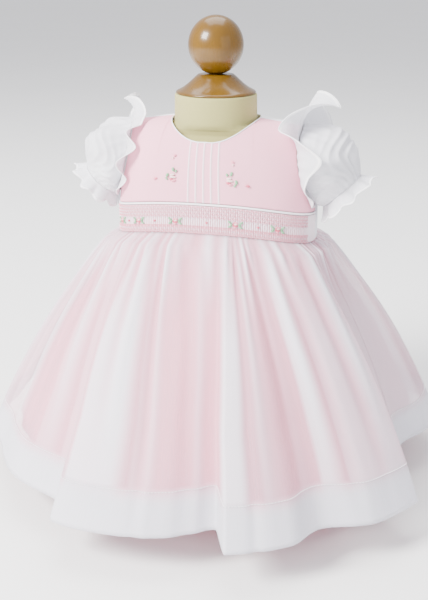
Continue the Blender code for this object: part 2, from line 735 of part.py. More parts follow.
def add_turned(name, outline, steps, material):
    # A turned piece: its outline runs from the top of the axis down the outside to the bottom.
    mesh = bpy.data.meshes.new(name)
    points = [(r * MM, 0.0, z * MM) for r, z in outline]
    mesh.from_pydata(points, [(i, i + 1) for i in range(len(points) - 1)], [])
    item = add_object(name, mesh, material)
    screw = item.modifiers.new("turned", "SCREW")
    screw.axis = "Z"
    screw.angle = 2.0 * math.pi
    screw.steps = steps
    screw.render_steps = steps
    screw.use_merge_vertices = True
    screw.merge_threshold = 0.00005
    screw.use_smooth_shade = True
    return item


def add_torso(material):
    turn = np.linspace(0.0, 2.0 * math.pi, 24, endpoint=False)
    mesh = bpy.data.meshes.new("form_torso")
    points = []
    faces = []
    for height, half_width, half_depth in TORSO_RINGS:
        for angle in turn:
            x = half_width * math.sin(angle)
            y = -half_depth * math.cos(angle)
            points.append((x * MM, y * MM, height * MM))
    count = len(turn)
    for r in range(len(TORSO_RINGS) - 1):
        for c in range(count):
            d = (c + 1) % count
            faces.append((r * count + c, r * count + d, (r + 1) * count + d, (r + 1) * count + c))
    faces.append(tuple(range(count))[::-1])
    faces.append(tuple((len(TORSO_RINGS) - 1) * count + c for c in range(count)))
    mesh.from_pydata(points, [], faces)
    mesh.update()
    mesh.shade_smooth()
    mesh.set_sharp_from_angle(angle=math.radians(50.0))
    return add_object("form_torso", mesh, material)


def ball_outline():
    radius = (BALL_TOP - 416.3 + 0.9) / 2.0
    middle = BALL_TOP - radius
    lowest = math.asin((416.3 - middle) / radius)
    angles = np.linspace(math.pi / 2.0, lowest, 12)
    outline = [(27.2 / radius * radius * math.cos(a), middle + radius * math.sin(a)) for a in angles]
    outline[0] = (0.0, BALL_TOP)
    outline.append((0.0, 416.3))
    return outline


def build():
    clear_scene()
    cream = make_material("cream cover cloth", CREAM, 0.9)
    honey = make_material("varnished honey wood", HONEY, 0.25)
    enamel = make_material("white enamel", (0.8, 0.8, 0.8, 1.0), 0.4)
    pink = make_material("pink batiste", PINK, 0.8)
    rose = make_material("deep pink lining", (0.93, 0.55, 0.64, 1.0), 0.8)
    smocking = make_material("smocked cloth", (0.93, 0.72, 0.77, 1.0), 0.85)
    white = make_material("white organdie", WHITE, 0.7)
    pearl = make_material("pearl button", (0.92, 0.9, 0.88, 1.0), 0.2)

    h = BASE_HEIGHT
    add_turned("form_base", ((0.0, h), (BASE_RADIUS - 3.0, h), (BASE_RADIUS, h - 3.0),
                             (BASE_RADIUS, 0.0), (0.0, 0.0)), 40, enamel)
    add_turned("form_post", ((0.0, TORSO_BOTTOM - SEAM), (POST_RADIUS, TORSO_BOTTOM - SEAM),
                             (POST_RADIUS, h + SEAM), (0.0, h + SEAM)), 24, enamel)
    add_torso(cream)
    cap = NECK_TOP + SEAM
    add_turned("neck_cap", ((0.0, 416.0), (17.0, 416.0), (20.0, 413.5), (26.0, 407.5), (33.0, 402.0),
                            (38.5, 399.6), (39.5, 398.4), (39.0, cap), (0.0, cap)), 32, honey)
    add_turned("neck_ball", ball_outline(), 24, honey)

    add_yoke(pink)
    add_piping(white)
    add_band(smocking)
    add_back("back_right", 1.0, white)
    add_back("back_left", -1.0, white)
    add_placket(white)
    for number, height in enumerate((340.0, 310.0, 278.0), start=1):
        add_button("button_%d" % number, height, pearl)
    side = math.degrees(SIDE_TURN)
    add_skirt("skirt_front", -side + 0.09, side - 0.09, white)
    add_skirt("skirt_back", side + 0.09, 360.0 - side - 0.09, white)
    add_underskirt(rose)
    for side_name in ("left", "right"):
        add_sleeve(side_name, white)
        add_cuff_frill(side_name, white)
        add_ruffle(side_name, white)


build()
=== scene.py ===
"""Smocked baby dress on a small dress form: cloth, stitching, wood and light around the frame.

Lengths in the tables and formulas are millimetres, meshes are metres. +Z is up and the front
of the dress looks towards -Y. A cloth piece is a grid of points worked out from the pattern's
formulas, rows from its upper edge to its lower one, columns round the body.
"""
import logging
import math
from dataclasses import dataclass
from enum import Enum

import bpy
import numpy as np
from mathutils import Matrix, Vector


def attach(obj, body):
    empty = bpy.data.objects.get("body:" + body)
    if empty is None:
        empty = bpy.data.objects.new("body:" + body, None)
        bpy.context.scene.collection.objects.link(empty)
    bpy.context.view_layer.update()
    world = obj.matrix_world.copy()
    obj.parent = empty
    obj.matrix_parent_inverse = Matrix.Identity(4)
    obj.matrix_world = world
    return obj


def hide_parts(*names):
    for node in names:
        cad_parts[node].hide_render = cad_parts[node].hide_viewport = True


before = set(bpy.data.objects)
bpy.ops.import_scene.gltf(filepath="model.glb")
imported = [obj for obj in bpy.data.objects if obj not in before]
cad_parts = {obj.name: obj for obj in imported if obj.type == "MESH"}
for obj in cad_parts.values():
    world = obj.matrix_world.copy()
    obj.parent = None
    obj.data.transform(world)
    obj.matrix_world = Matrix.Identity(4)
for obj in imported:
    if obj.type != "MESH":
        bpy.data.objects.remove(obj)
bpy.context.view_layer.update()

MM = 0.001
TURN = 2.0 * math.pi
Array = np.ndarray
Colour = tuple[float, float, float]
log = logging.getLogger("smocked_dress")


class Side(Enum):
    """Left or right as seen from the front, with its sign along X."""

    LEFT = -1.0
    RIGHT = 1.0

    @property
    def word(self) -> str:
        """The side's name in node names."""
        return self.name.lower()


# curves and tables


def signed_power(value: Array, power: float) -> Array:
    """Raise the size of each value to a power and keep its sign."""
    return np.sign(value) * np.abs(value) ** power


def smooth(value: Array, low: float, high: float) -> Array:
    """Ease from 0 at low to 1 at high, as 3x^2 - 2x^3."""
    share = np.clip((value - low) / (high - low), 0.0, 1.0)
    return share * share * (3.0 - 2.0 * share)


def bump(apart: Array, half_width: float) -> Array:
    """A rounded ridge: e to the minus square of the distance over its half width."""
    return np.exp(-((apart / half_width) ** 2))


def wrapped(angle: Array) -> Array:
    """Bring an angle in radians into the half open turn round zero."""
    return (angle + math.pi) % TURN - math.pi


def around(at: Array, table: tuple[tuple[float, ...], ...], column: int) -> Array:
    """Read one column of a table of angles as a smooth periodic curve.

    Between two rows it is the cubic that leaves each row at the harmonic mean of the slopes
    beside it, so the curve never swings past a row. An azimuth column grows by a full turn
    with each turn of its argument.

    Args:
        at: angles in degrees.
        table: rows that start with their angle in degrees.
        column: which column to read.

    Returns:
        The column's value at each angle.
    """
    rows = np.array(table, dtype=float)
    turning = 360.0 if column == 2 and rows[0, 0] == rows[0, 2] else 0.0
    x = np.concatenate((rows[:, 0] - 360.0, rows[:, 0], rows[:, 0] + 360.0))
    y = np.concatenate((rows[:, column] - turning, rows[:, column], rows[:, column] + turning))
    step = np.diff(x)
    slope = np.diff(y) / step
    product = slope[:-1] * slope[1:]
    mean = np.where(product > 0.0, 2.0 * product / (slope[:-1] + slope[1:] + 1e-12), 0.0)
    tangent = np.concatenate(([slope[0]], mean, [slope[-1]]))
    at = np.asarray(at, dtype=float)
    i = np.clip(np.searchsorted(x, at) - 1, 0, len(x) - 2)
    u = (at - x[i]) / step[i]
    rise = u * u * (3.0 - 2.0 * u)
    leave = u * (1.0 - u) ** 2 * step[i] * tangent[i]
    arrive = u * u * (u - 1.0) * step[i] * tangent[i + 1]
    return y[i] * (1.0 - rise) + y[i + 1] * rise + leave + arrive


def spread_keys(keys: Array, steps: int) -> Array:
    """Put a number of even steps between each pair of neighbouring key values."""
    at = np.linspace(0.0, len(keys) - 1.0, (len(keys) - 1) * steps + 1)
    return np.interp(at, np.arange(len(keys)), keys)


def even_columns(edge: Array, turns: Array, count: int) -> Array:
    """Pick turns that step evenly along an edge.

    Args:
        edge: points of the edge, one for each of turns.
        turns: a fine run of turns.
        count: how many turns to return.

    Returns:
        Turns whose points lie evenly along the edge's length.
    """
    length = np.concatenate(([0.0], np.cumsum(np.linalg.norm(np.diff(edge, axis=0), axis=1))))
    return np.interp(np.linspace(0.0, length[-1], count), length, turns)


def unit(vectors: Array) -> Array:
    """Scale each vector to length 1."""
    return vectors / np.maximum(np.linalg.norm(vectors, axis=-1, keepdims=True), 1e-9)


def grid_normals(points: Array, closed: bool) -> Array:
    """Unit normals of a grid: the step down the rows crossed with the step along them."""
    down = np.gradient(points, axis=0)
    if closed:
        across = np.roll(points, -1, axis=1) - np.roll(points, 1, axis=1)
    else:
        across = np.gradient(points, axis=1)
    return unit(np.cross(down, across))


# meshes


def publish(name: str, points: Array, faces: list, material: bpy.types.Material) -> bpy.types.Object:
    """Make an object at the origin from points in millimetres and ride it on the dress.

    Args:
        name: the piece's name.
        points: one row of x, y and z for each vertex.
        faces: vertex numbers of each face.
        material: the piece's finish.

    Returns:
        The new object, shaded smooth.
    """
    mesh = bpy.data.meshes.new(name)
    mesh.from_pydata((points * MM).tolist(), [], faces)
    mesh.materials.append(material)
    mesh.shade_smooth()
    piece = bpy.data.objects.new(name, mesh)
    bpy.context.scene.collection.objects.link(piece)
    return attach(piece, "root") or piece


def grid_faces(rows: int, columns: int, closed: bool, flip: bool) -> Array:
    """Quads of a grid, wound so that they face along down x across, or the other way."""
    spans = columns if closed else columns - 1
    r, c = np.mgrid[0:rows - 1, 0:spans]
    d = (c + 1) % columns
    quads = np.stack((r * columns + c, (r + 1) * columns + c, (r + 1) * columns + d,
                      r * columns + d), axis=-1).reshape(-1, 4)
    return quads[:, ::-1] if flip else quads


def faces_in(points: Array, closed: bool, centre: Array) -> bool:
    """Tell whether a grid's own normals look towards a centre on the whole."""
    away = (grid_normals(points, closed) * (points - centre)).sum(axis=-1)
    return bool(away.mean() < 0.0)


def lay_uv(piece: bpy.types.Object, points: Array, closed: bool, flip: bool) -> None:
    """Give a grid a UV map in metres of cloth along its middle row and middle column.

    Args:
        piece: the grid's object.
        points: the grid in millimetres.
        closed: whether the last column joins the first.
        flip: whether the quads were turned over.
    """
    rows, columns = points.shape[:2]
    ring = points[rows // 2]
    if closed:
        ring = np.concatenate((ring, ring[:1]))
    u = np.concatenate(([0.0], np.cumsum(np.linalg.norm(np.diff(ring, axis=0), axis=1)))) * MM
    line = points[:, columns // 2]
    v = np.concatenate(([0.0], np.cumsum(np.linalg.norm(np.diff(line, axis=0), axis=1)))) * MM
    spans = columns if closed else columns - 1
    r, c = np.mgrid[0:rows - 1, 0:spans]
    corners = ((r, c), (r + 1, c), (r + 1, c + 1), (r, c + 1))
    uv = np.stack([np.stack((u[b], v[a]), axis=-1) for a, b in corners], axis=2)
    uv = uv.reshape(-1, 4, 2)
    uv = uv[:, ::-1] if flip else uv
    layer = piece.data.uv_layers.new(name="cloth")
    layer.data.foreach_set("uv", uv.reshape(-1).astype(np.float32))


def lay_value(piece: bpy.types.Object, name: str, values: Array) -> None:
    """Store one number for each vertex under a name that a finish reads."""
    layer = piece.data.attributes.new(name, "FLOAT", "POINT")
    layer.data.foreach_set("value", np.asarray(values, dtype=np.float32).reshape(-1))


def cloth_piece(name: str, points: Array, material: bpy.types.Material, closed: bool = False,
                centre: tuple[float, float, float] = (0.0, 0.0, 300.0), thickness: float = 0.35,
                veil: Array | None = None, tint: Array | None = None) -> bpy.types.Object:
    """Make a thin cloth shell from a grid of points.

    Args:
        name: the piece's name.
        points: rows by columns of points in millimetres, on the cloth's right side.
        material: the cloth's finish.
        closed: whether the last column joins the first.
        centre: a point that the right side looks away from.
        thickness: the cloth's thickness in millimetres, laid inwards.
        veil: extra cover of a sheer cloth, 0 where it is single and 1 where it is doubled.
        tint: share of the finish's second colour.

    Returns:
        The finished object.
    """
    flip = faces_in(points, closed, np.array(centre))
    rows, columns = points.shape[:2]
    faces = grid_faces(rows, columns, closed, flip).tolist()
    piece = publish(name, points.reshape(-1, 3), faces, material)
    lay_uv(piece, points, closed, flip)
    blank = np.zeros((rows, columns))
    lay_value(piece, "veil", blank if veil is None else np.broadcast_to(veil, blank.shape))
    lay_value(piece, "tint", blank if tint is None else np.broadcast_to(tint, blank.shape))
    shell = piece.modifiers.new("cloth thickness", "SOLIDIFY")
    shell.thickness = thickness * MM
    shell.offset = -1.0
    return piece


def cord_piece(name: str, path: Array, normals: Array, radius: float, sides: int,
               material: bpy.types.Material, closed: bool = False) -> bpy.types.Object:
    """Make a round cord along a path: circles square to the path, joined into a tube.

    Args:
        name: the piece's name.
        path: points along the cord in millimetres.
        normals: a direction square to the path at each point.
        radius: the cord's radius in millimetres.
        sides: how many sides each circle has.
        material: the cord's finish.
        closed: whether the path is a ring.

    Returns:
        The finished object, its ends closed by flat caps unless it is a ring.
    """
    if closed:
        tangent = unit(np.roll(path, -1, axis=0) - np.roll(path, 1, axis=0))
    else:
        tangent = unit(np.gradient(path, axis=0))
    across = unit(np.cross(tangent, normals))
    upward = np.cross(across, tangent)
    turn = np.linspace(0.0, TURN, sides, endpoint=False)
    ring = (np.cos(turn)[None, :, None] * upward[:, None]
            + np.sin(turn)[None, :, None] * across[:, None])
    points = path[:, None] + radius * ring
    count = len(path)
    spans = count if closed else count - 1
    r, c = np.mgrid[0:spans, 0:sides]
    e = (r + 1) % count
    d = (c + 1) % sides
    faces = np.stack((r * sides + c, r * sides + d, e * sides + d, e * sides + c), axis=-1)
    faces = faces.reshape(-1, 4).tolist()
    if not closed:
        faces.append(list(range(sides))[::-1])
        faces.append([(count - 1) * sides + k for k in range(sides)])
    return publish(name, points.reshape(-1, 3), faces, material)


def stitch_piece(name: str, starts: Array, ends: Array, normals: Array, radius: Array | float,
                 material: bpy.types.Material, lift: float = 0.3) -> bpy.types.Object:
    """Make many short stitches in one mesh.

    A stitch is a five-sided thread that tapers at both ends and rises over the cloth between
    them by the lift times 4u(1 - u), u running from its start to its end.

    Args:
        name: the piece's name.
        starts: where each stitch leaves the cloth.
        ends: where it goes back in.
        normals: the cloth's outward direction at each stitch.
        radius: the thread's radius, one number or one for each stitch.
        material: the thread's finish.
        lift: how far the middle stands off the cloth.

    Returns:
        The finished object.
    """
    share = np.array((0.0, 0.14, 0.5, 0.86, 1.0))
    girth = np.array((0.35, 0.85, 1.0, 0.85, 0.35))
    sides = 5
    count = len(starts)
    radius = np.broadcast_to(np.asarray(radius, dtype=float), (count,))
    along = unit(ends - starts)
    across = unit(np.cross(along, normals))
    upward = np.cross(across, along)
    middle = starts[:, None] + (ends - starts)[:, None] * share[None, :, None]
    arch = lift * 4.0 * share * (1.0 - share)
    middle = middle + arch[None, :, None] * normals[:, None]
    turn = np.linspace(0.0, TURN, sides, endpoint=False)
    ring = (np.cos(turn)[None, None, :, None] * upward[:, None, None]
            + np.sin(turn)[None, None, :, None] * across[:, None, None])
    size = radius[:, None] * girth[None, :]
    points = middle[:, :, None] + size[:, :, None, None] * ring
    each = len(share) * sides
    r, c = np.mgrid[0:len(share) - 1, 0:sides]
    d = (c + 1) % sides
    quads = np.stack((r * sides + c, r * sides + d, (r + 1) * sides + d, (r + 1) * sides + c),
                     axis=-1).reshape(-1, 4)
    shift = (np.arange(count) * each)[:, None, None]
    faces = (quads[None] + shift).reshape(-1, 4).tolist()
    caps = np.stack((np.arange(sides)[::-1], each - sides + np.arange(sides)))
    faces += (caps[None] + shift).reshape(-1, sides).tolist()
    return publish(name, points.reshape(-1, 3), faces, material)


def turned_piece(name: str, outline: Array, columns: int,
                 material: bpy.types.Material, deep: float = 1.0) -> bpy.types.Object:
    """Make a turned piece: an outline carried once round the vertical axis.

    A point at radius r and height z becomes r sin a, -r cos a times the depth share, z.

    Args:
        name: the piece's name.
        outline: radius and height from the top of the axis down to its bottom.
        columns: how many steps the turn has.
        material: the piece's finish.
        deep: depth over width of each ring.

    Returns:
        The finished closed object.
    """
    turn = np.linspace(0.0, TURN, columns, endpoint=False)
    inner = outline[1:-1]
    x = inner[:, 0, None] * np.sin(turn)
    y = -deep * inner[:, 0, None] * np.cos(turn)
    z = np.broadcast_to(inner[:, 1, None], x.shape)
    grid = np.stack((x, y, z), axis=-1)
    rows = len(inner)
    faces = grid_faces(rows, columns, True, False).tolist()
    top = rows * columns
    last = (rows - 1) * columns
    c = np.arange(columns)
    d = (c + 1) % columns
    faces += np.stack((np.full(columns, top), c, d), axis=-1).tolist()
    faces += np.stack((last + c, np.full(columns, top + 1), last + d), axis=-1).tolist()
    poles = np.array(((0.0, 0.0, outline[0, 1]), (0.0, 0.0, outline[-1, 1])))
    points = np.concatenate((grid.reshape(-1, 3), poles))
    return publish(name, points, faces, material)


# finishes


class Recipe:
    """A material's node tree, filled node by node."""

    def __init__(self, name: str) -> None:
        """Start a material with one Principled shader.

        Args:
            name: the material's name.
        """
        self.material = bpy.data.materials.new(name)
        self.material.use_nodes = True
        self.tree = self.material.node_tree
        self.shader = self.tree.nodes["Principled BSDF"]

    def add(self, kind: str, inputs: dict | None = None, **settings: object) -> bpy.types.Node:
        """Add a node.

        Args:
            kind: the node's type name without its ShaderNode prefix.
            inputs: socket name or number to a value or to another node's output.
            settings: the node's own properties.

        Returns:
            The new node.
        """
        node = self.tree.nodes.new("ShaderNode" + kind)
        for key, value in settings.items():
            setattr(node, key, value)
        for key, value in (inputs or {}).items():
            self.feed(node, key, value)
        return node

    def feed(self, node: bpy.types.Node, key: str | int, value: object) -> None:
        """Put a value on a socket, or link another node's output to it."""
        if isinstance(value, bpy.types.NodeSocket):
            self.tree.links.new(value, node.inputs[key])
        else:
            node.inputs[key].default_value = value

    def math(self, operation: str, first: object, second: object = 0.0) -> bpy.types.NodeSocket:
        """Add a sum, product or other operation and return its output."""
        return self.add("Math", {0: first, 1: second}, operation=operation).outputs[0]

    def scaled(self, value: object, factor: float, offset: float) -> bpy.types.NodeSocket:
        """Add value times factor plus offset and return its output."""
        node = self.add("Math", {0: value, 1: factor, 2: offset}, operation="MULTIPLY_ADD")
        return node.outputs[0]

    def blend(self, share: object, first: object, second: object) -> bpy.types.NodeSocket:
        """Mix two colours by a share and return the result."""
        node = self.add("Mix", data_type="RGBA")
        self.feed(node, 0, share)
        self.feed(node, 6, first)
        self.feed(node, 7, second)
        return node.outputs[2]

    def noise(self, at: object, scale: float, detail: float = 2.0) -> bpy.types.NodeSocket:
        """Add a noise pattern at a place and return its value."""
        return self.add("TexNoise", {"Vector": at, "Scale": scale, "Detail": detail}).outputs[0]

    def stretched(self, at: object, scale: tuple[float, float, float]) -> bpy.types.NodeSocket:
        """Scale a place differently along its axes."""
        return self.add("Mapping", {"Vector": at, "Scale": scale}).outputs[0]

    def value(self, name: str) -> bpy.types.NodeSocket:
        """Read a number that the piece stores on its vertices."""
        return self.add("Attribute", attribute_name=name).outputs["Fac"]

    def place(self) -> bpy.types.NodeSocket:
        """The place on the piece in metres."""
        return self.add("TexCoord").outputs["Object"]

    def finish(self, **sockets: object) -> bpy.types.Material:
        """Set or link the shader's sockets, given with _ for each space, and return the material."""
        for key, value in sockets.items():
            self.feed(self.shader, key.replace("_", " "), value)
        return self.material


def rgba(colour: Colour) -> tuple[float, float, float, float]:
    """Add full opacity to a colour."""
    return (*colour, 1.0)


@dataclass(frozen=True)
class ClothFinish:
    """Woven cloth: plain weave, slubs, soft crumple and colour that shifts a little."""

    name: str
    colour: Colour
    shade: Colour
    second: Colour = (1.0, 1.0, 1.0)
    thread: float = 0.45
    cover: float = 1.0
    doubled: float = 0.3
    roughness: float = 0.75
    sheen: float = 0.2
    weave_depth: float = 0.00005
    crumple_depth: float = 0.0012
    glow: float = 0.0

    def material(self) -> bpy.types.Material:
        """Build the node tree.

        The weave's height is the sine across the warp times the sine across the weft. The
        colour goes from colour to shade with a broad noise and the weave's hollows, and to
        the second colour by the piece's tint. A sheer cloth's cover grows with its veil.

        Returns:
            The finished material.
        """
        recipe = Recipe(self.name)
        uv = recipe.add("UVMap", uv_map="cloth").outputs[0]
        split = recipe.add("SeparateXYZ", {0: uv})
        pitch = TURN / (self.thread * MM)
        warp = recipe.math("SINE", recipe.math("MULTIPLY", split.outputs[0], pitch))
        weft = recipe.math("SINE", recipe.math("MULTIPLY", split.outputs[1], pitch))
        weave = recipe.math("MULTIPLY", warp, weft)
        streak = recipe.noise(recipe.stretched(uv, (900.0, 45.0, 1.0)), 1.0)
        slub = recipe.noise(recipe.stretched(uv, (45.0, 900.0, 1.0)), 1.0)
        place = recipe.place()
        broad = recipe.noise(place, 14.0, 3.0)
        crumple = recipe.noise(place, 55.0, 3.0)
        share = recipe.scaled(weave, 0.12, 0.06)
        share = recipe.math("ADD", share, recipe.math("MULTIPLY", broad, 0.45))
        share = recipe.math("ADD", share, recipe.math("MULTIPLY", streak, 0.22))
        share = recipe.math("ADD", share, recipe.math("MULTIPLY", slub, 0.14))
        base = recipe.blend(share, rgba(self.colour), rgba(self.shade))
        base = recipe.blend(recipe.value("tint"), base, rgba(self.second))
        soft = recipe.add("Bump", {"Strength": 0.35, "Distance": self.crumple_depth,
                                   "Height": crumple})
        threads = recipe.math("ADD", weave, recipe.math("MULTIPLY", streak, 1.5))
        fine = recipe.add("Bump", {"Strength": 0.7, "Distance": self.weave_depth,
                                   "Height": threads, "Normal": soft.outputs[0]})
        rough = recipe.scaled(slub, 0.12, self.roughness - 0.06)
        sockets: dict[str, object] = {
            "Base_Color": base, "Roughness": rough, "Normal": fine.outputs[0],
            "Sheen_Weight": self.sheen, "Sheen_Roughness": 0.4, "Specular_IOR_Level": 0.2,
        }
        if self.cover < 1.0:
            veil = recipe.math("MULTIPLY", recipe.value("veil"), self.doubled)
            alpha = recipe.math("ADD", veil, recipe.math("MULTIPLY", streak, 0.08))
            alpha = recipe.math("ADD", alpha, recipe.math("MULTIPLY", weave, 0.03))
            alpha = recipe.math("ADD", alpha, self.cover - 0.04)
            alpha.node.use_clamp = True
            sockets["Alpha"] = alpha
        return recipe.finish(**sockets)


@dataclass(frozen=True)
class ThreadFinish:
    """Stranded embroidery thread: one colour with a twist and a silky gloss."""

    name: str
    colour: Colour
    shade: Colour
    twist: float = 900.0

    def material(self) -> bpy.types.Material:
        """Build the node tree: slanting bands of a fine wave shade and raise the thread.

        Returns:
            The finished material.
        """
        recipe = Recipe(self.name)
        place = recipe.place()
        wave = recipe.add("TexWave", {"Vector": place, "Scale": self.twist, "Distortion": 1.5},
                          bands_direction="DIAGONAL").outputs[1]
        patch = recipe.noise(place, 160.0)
        share = recipe.math("ADD", recipe.math("MULTIPLY", wave, 0.35),
                            recipe.math("MULTIPLY", patch, 0.5))
        base = recipe.blend(share, rgba(self.colour), rgba(self.shade))
        relief = recipe.add("Bump", {"Strength": 0.5, "Distance": 0.00008, "Height": wave})
        return recipe.finish(Base_Color=base, Normal=relief.outputs[0], Roughness=0.45,
                             Sheen_Weight=0.3, Specular_IOR_Level=0.4)


@dataclass(frozen=True)
class WoodFinish:
    """Turned wood under a thick glossy varnish."""

    name: str
    light: Colour
    dark: Colour

    def material(self) -> bpy.types.Material:
        """Build the node tree: stretched noise for the grain, fine pores and mottling.

        Returns:
            The finished material.
        """
        recipe = Recipe(self.name)
        place = recipe.place()
        grain = recipe.noise(recipe.stretched(place, (60.0, 60.0, 9.0)), 1.0, 5.0)
        pores = recipe.noise(recipe.stretched(place, (900.0, 900.0, 60.0)), 1.0, 2.0)
        mottle = recipe.noise(place, 26.0, 3.0)
        share = recipe.math("ADD", recipe.math("MULTIPLY", grain, 0.9),
                            recipe.math("MULTIPLY", mottle, 0.5))
        share = recipe.math("SUBTRACT", share, 0.22)
        share = recipe.math("ADD", share, recipe.math("MULTIPLY", pores, 0.12))
        share.node.use_clamp = True
        base = recipe.blend(share, rgba(self.light), rgba(self.dark))
        relief = recipe.add("Bump", {"Strength": 0.25, "Distance": 0.0002, "Height": mottle})
        rough = recipe.scaled(grain, 0.16, 0.2)
        return recipe.finish(Base_Color=base, Roughness=rough, Normal=relief.outputs[0],
                             Coat_Weight=0.25, Coat_Roughness=0.06, Specular_IOR_Level=0.3)


@dataclass(frozen=True)
class EnamelFinish:
    """Sprayed enamel: slight ripple and a little dust."""

    name: str
    colour: Colour
    worn: Colour

    def material(self) -> bpy.types.Material:
        """Build the node tree: orange-peel relief and faint clouding.

        Returns:
            The finished material.
        """
        recipe = Recipe(self.name)
        place = recipe.place()
        cloud = recipe.noise(place, 22.0, 4.0)
        peel = recipe.noise(place, 700.0, 1.0)
        share = recipe.math("MULTIPLY", cloud, 0.5)
        base = recipe.blend(share, rgba(self.colour), rgba(self.worn))
        relief = recipe.add("Bump", {"Strength": 0.3, "Distance": 0.0001, "Height": peel})
        rough = recipe.scaled(cloud, 0.2, 0.28)
        return recipe.finish(Base_Color=base, Roughness=rough, Normal=relief.outputs[0],
                             Coat_Weight=0.2, Coat_Roughness=0.1)


@dataclass(frozen=True)
class PearlFinish:
    """Pearly button: clouded milk and grey bands under a gloss."""

    name: str
    colour: Colour
    shade: Colour

    def material(self) -> bpy.types.Material:
        """Build the node tree: a warped noise mixes the two tones.

        Returns:
            The finished material.
        """
        recipe = Recipe(self.name)
        place = recipe.place()
        swirl = recipe.add("TexNoise", {"Vector": place, "Scale": 260.0, "Detail": 3.0,
                                        "Distortion": 2.2}).outputs[0]
        base = recipe.blend(swirl, rgba(self.colour), rgba(self.shade))
        rough = recipe.scaled(swirl, 0.12, 0.12)
        return recipe.finish(Base_Color=base, Roughness=rough, Coat_Weight=0.5,
                             Coat_Roughness=0.05)


@dataclass(frozen=True)
class Wardrobe:
    """Every finish of the dress and its form, built once."""

    batiste: bpy.types.Material
    lining: bpy.types.Material
    organdie: bpy.types.Material
    sleeve_cloth: bpy.types.Material
    cotton: bpy.types.Material
    pleated: bpy.types.Material
    cover: bpy.types.Material
    wood: bpy.types.Material
    enamel: bpy.types.Material
    pearl: bpy.types.Material
    white_thread: bpy.types.Material
    pink_thread: bpy.types.Material
    rose_thread: bpy.types.Material
    cream_thread: bpy.types.Material
    green_thread: bpy.types.Material


def make_wardrobe() -> Wardrobe:
    """Build the finishes.

    Returns:
        The materials by what they are used for.
    """
    white = (0.92, 0.915, 0.95)
    return Wardrobe(
        batiste=ClothFinish("pink batiste", (0.95, 0.48, 0.59), (0.90, 0.38, 0.50),
                            (0.98, 0.90, 0.93), sheen=0.15).material(),
        lining=ClothFinish("pink lining", (0.96, 0.36, 0.47), (0.90, 0.27, 0.38),
                           crumple_depth=0.002).material(),
        organdie=ClothFinish("sheer organdie", (0.92, 0.91, 0.97), (0.86, 0.85, 0.94),
                             (0.97, 0.60, 0.71), cover=0.3, doubled=0.44, roughness=0.6,
                             sheen=0.35).material(),
        sleeve_cloth=ClothFinish("sleeve organdie", white, (0.86, 0.86, 0.92),
                                 (1.0, 1.0, 1.0), cover=0.66, doubled=0.34, roughness=0.6,
                                 sheen=0.3).material(),
        cotton=ClothFinish("white cotton", white, (0.85, 0.85, 0.91)).material(),
        # the pleated cotton's second colour is the deep pink painted into the band's pleat hollows as
        # shade, and lightly along its smocked rows
        pleated=ClothFinish("pleated cotton", (0.94, 0.87, 0.91), (0.88, 0.76, 0.82),
                            (0.84, 0.33, 0.44), thread=0.4).material(),
        cover=ClothFinish("cream cover cloth", (0.47, 0.44, 0.18), (0.36, 0.33, 0.12),
                          thread=0.7, weave_depth=0.0001).material(),
        wood=WoodFinish("honey varnished wood", (0.16, 0.080, 0.006), (0.07, 0.032, 0.002)).material(),
        enamel=EnamelFinish("white enamel", (0.84, 0.84, 0.83), (0.70, 0.70, 0.69)).material(),
        pearl=PearlFinish("pearl button", (0.93, 0.92, 0.90), (0.78, 0.78, 0.80)).material(),
        white_thread=ThreadFinish("white thread", (0.96, 0.95, 0.97), (0.84, 0.83, 0.88)).material(),
        pink_thread=ThreadFinish("pink thread", (0.92, 0.36, 0.46), (0.82, 0.25, 0.35)).material(),
        rose_thread=ThreadFinish("deep rose thread", (0.80, 0.14, 0.23), (0.58, 0.07, 0.14)).material(),
        cream_thread=ThreadFinish("cream pink thread", (0.95, 0.74, 0.70),
                                  (0.86, 0.56, 0.55)).material(),
        green_thread=ThreadFinish("leaf green thread", (0.26, 0.56, 0.30),
                                  (0.09, 0.34, 0.14)).material(),
    )


# the pattern of the bodice


